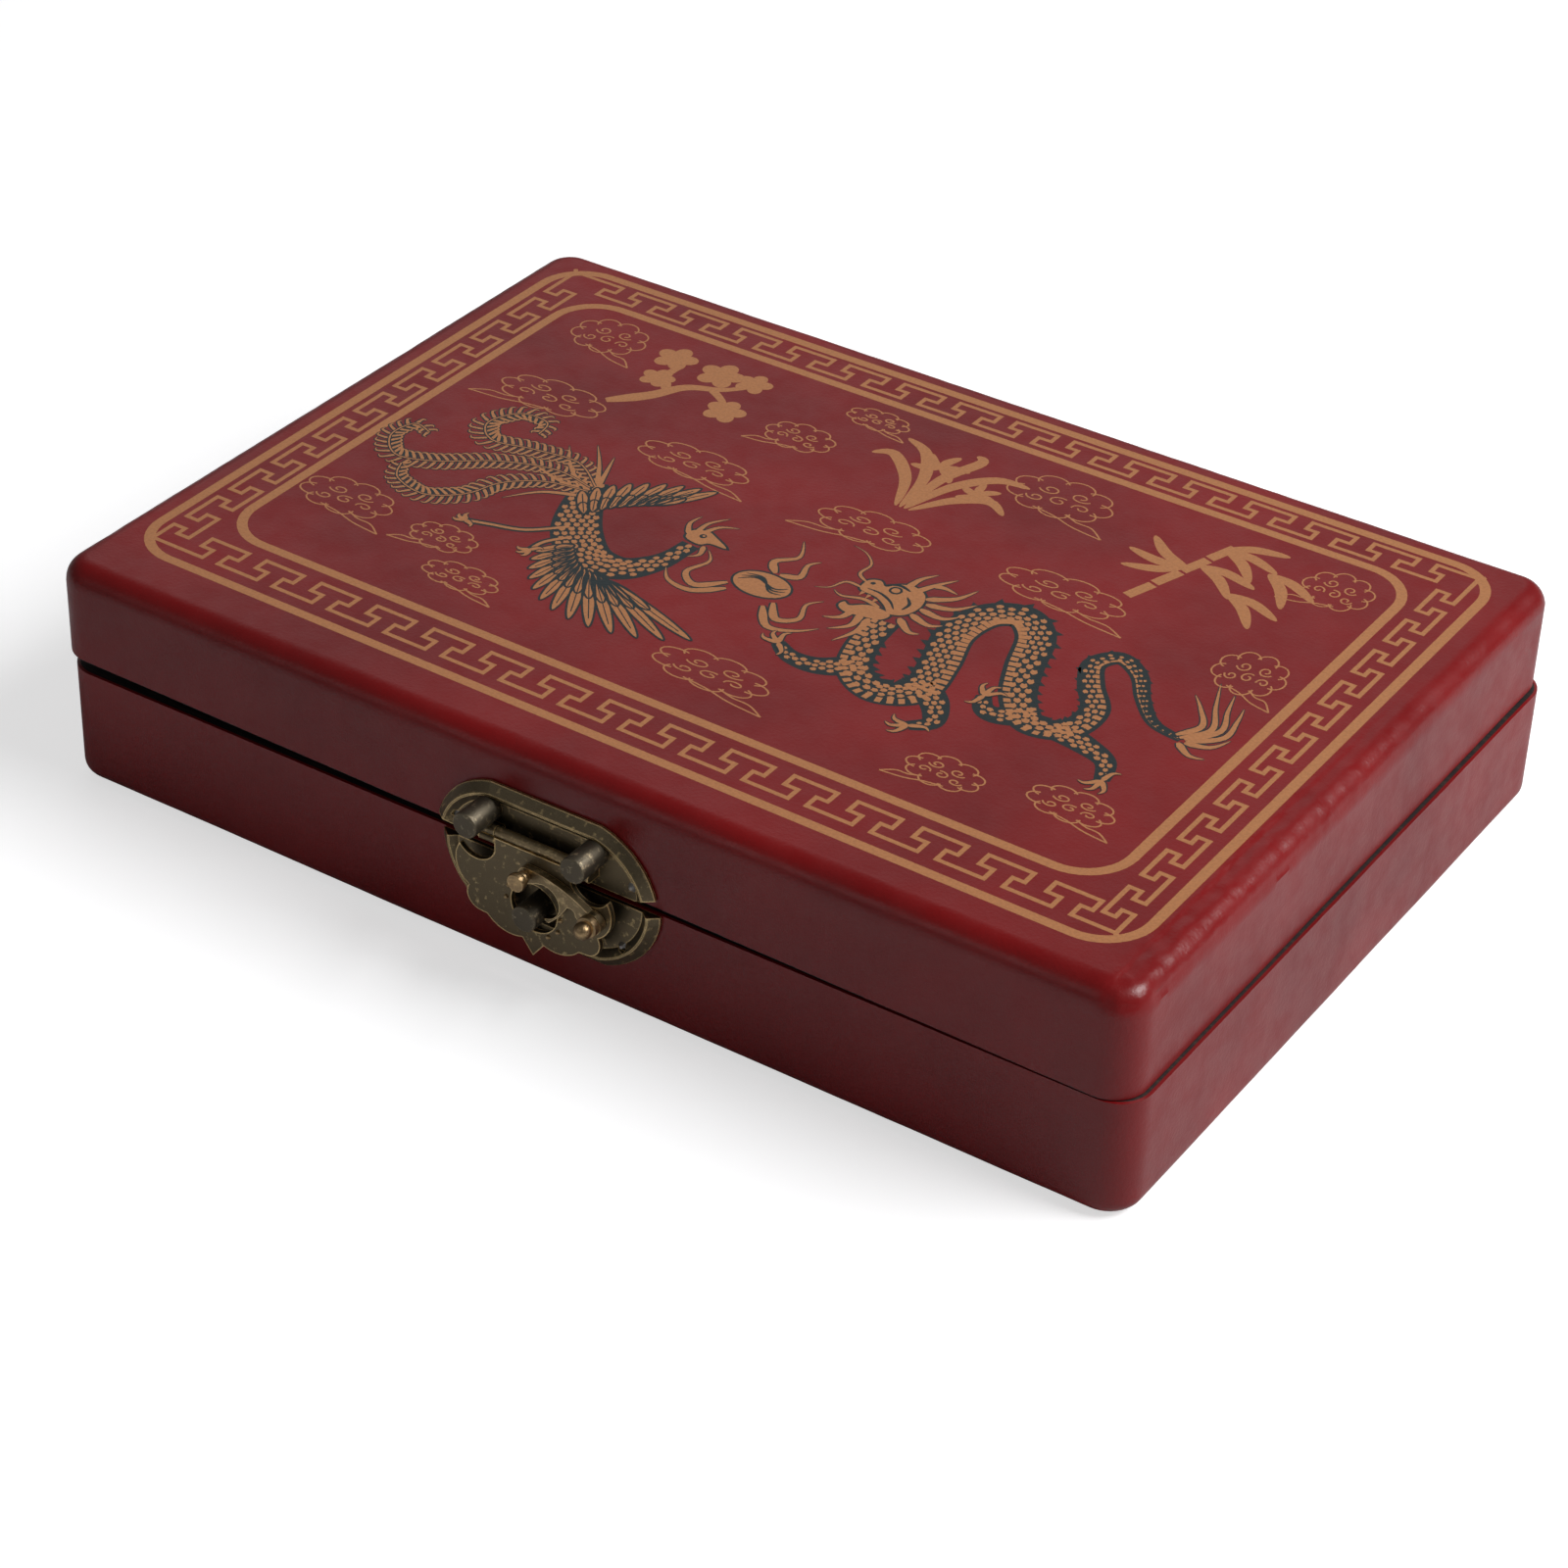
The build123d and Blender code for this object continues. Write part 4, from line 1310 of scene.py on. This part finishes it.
# Lights in metres and watts: (name, place, aim, size, power)
LIGHTS = (
    ("key", (0.95, 0.35, 1.05), (0, 0, 0), (0.9, 0.7), 23.0),
    ("rear_wall", (-0.85, 1.3, 1.0), (0, 0, 0.03), (1.6, 1.0), 2.2),
    ("front_fill", (-0.5, -1.4, 0.7), (0, 0, 0.02), (0.8, 0.5), 1.0),
)
WORLD_STRENGTH = 0.10
FLOOR_COLOR = (0.62, 0.62, 0.63)
FLOOR_ROUGHNESS = 0.8
FLOOR_GLOW = 0.62           # added for the camera alone, so that the floor reads as white
FLOOR_HALF = 6.0            # metres


def add_camera():
    level = math.cos(ELEVATION)
    back = Vector((math.sin(AZIMUTH) * level, -math.cos(AZIMUTH) * level, math.sin(ELEVATION)))
    right = (-back).cross(Vector((0, 0, 1))).normalized()
    up = right.cross(-back).normalized()
    rolled_right = math.cos(ROLL) * right + math.sin(ROLL) * up
    rolled_up = -math.sin(ROLL) * right + math.cos(ROLL) * up
    data = bpy.data.cameras.new("photo_camera")
    data.sensor_width = SENSOR
    data.lens = SENSOR * FOCAL_PIXELS / IMAGE
    data.clip_start = CLIP_START * MM
    camera = bpy.data.objects.new("photo_camera", data)
    bpy.context.scene.collection.objects.link(camera)
    turn = Matrix((rolled_right, rolled_up, back)).transposed().to_4x4()
    turn.translation = (TARGET + back * DISTANCE) * MM
    camera.matrix_world = turn
    bpy.context.scene.camera = camera


def add_lights():
    for name, place, aim, size, power in LIGHTS:
        data = bpy.data.lights.new(name, "AREA")
        data.shape = "RECTANGLE"
        data.size, data.size_y = size
        data.energy = power
        obj = bpy.data.objects.new(name, data)
        bpy.context.scene.collection.objects.link(obj)
        obj.location = place
        obj.rotation_euler = (Vector(aim) - Vector(place)).to_track_quat("-Z", "Y").to_euler()


def add_world():
    world = bpy.data.worlds.new("studio")
    world.use_nodes = True
    background = world.node_tree.nodes["Background"]
    background.inputs["Color"].default_value = (1, 1, 1, 1)
    background.inputs["Strength"].default_value = WORLD_STRENGTH
    bpy.context.scene.world = world


def add_floor():
    mat = bpy.data.materials.new("floor")
    mat.use_nodes = True
    tree = mat.node_tree
    shader = tree.nodes["Principled BSDF"]
    shader.inputs["Base Color"].default_value = (*FLOOR_COLOR, 1)
    shader.inputs["Roughness"].default_value = FLOOR_ROUGHNESS
    bright = tree.nodes.new("ShaderNodeEmission")
    camera_ray = tree.nodes.new("ShaderNodeLightPath")
    strength = tree.nodes.new("ShaderNodeMath")
    strength.operation = "MULTIPLY"
    strength.inputs[1].default_value = FLOOR_GLOW
    tree.links.new(camera_ray.outputs["Is Camera Ray"], strength.inputs[0])
    tree.links.new(strength.outputs[0], bright.inputs["Strength"])
    both = tree.nodes.new("ShaderNodeAddShader")
    tree.links.new(shader.outputs[0], both.inputs[0])
    tree.links.new(bright.outputs[0], both.inputs[1])
    tree.links.new(both.outputs[0], tree.nodes["Material Output"].inputs["Surface"])
    mesh = bpy.data.meshes.new("floor")
    corners = [(x * FLOOR_HALF, y * FLOOR_HALF, 0) for x, y in ((-1, -1), (1, -1), (1, 1), (-1, 1))]
    mesh.from_pydata(corners, [], [(0, 1, 2, 3)])
    mesh.materials.append(mat)
    obj = bpy.data.objects.new("floor", mesh)
    bpy.context.scene.collection.objects.link(obj)


lid_covering()
base_covering()
lid_print()
posts()
rivet()
knob()
hasp_dots()
barrels()
finish_nodes()
add_floor()
add_world()
add_lights()
add_camera()
bpy.context.scene.view_settings.view_transform = "Standard"
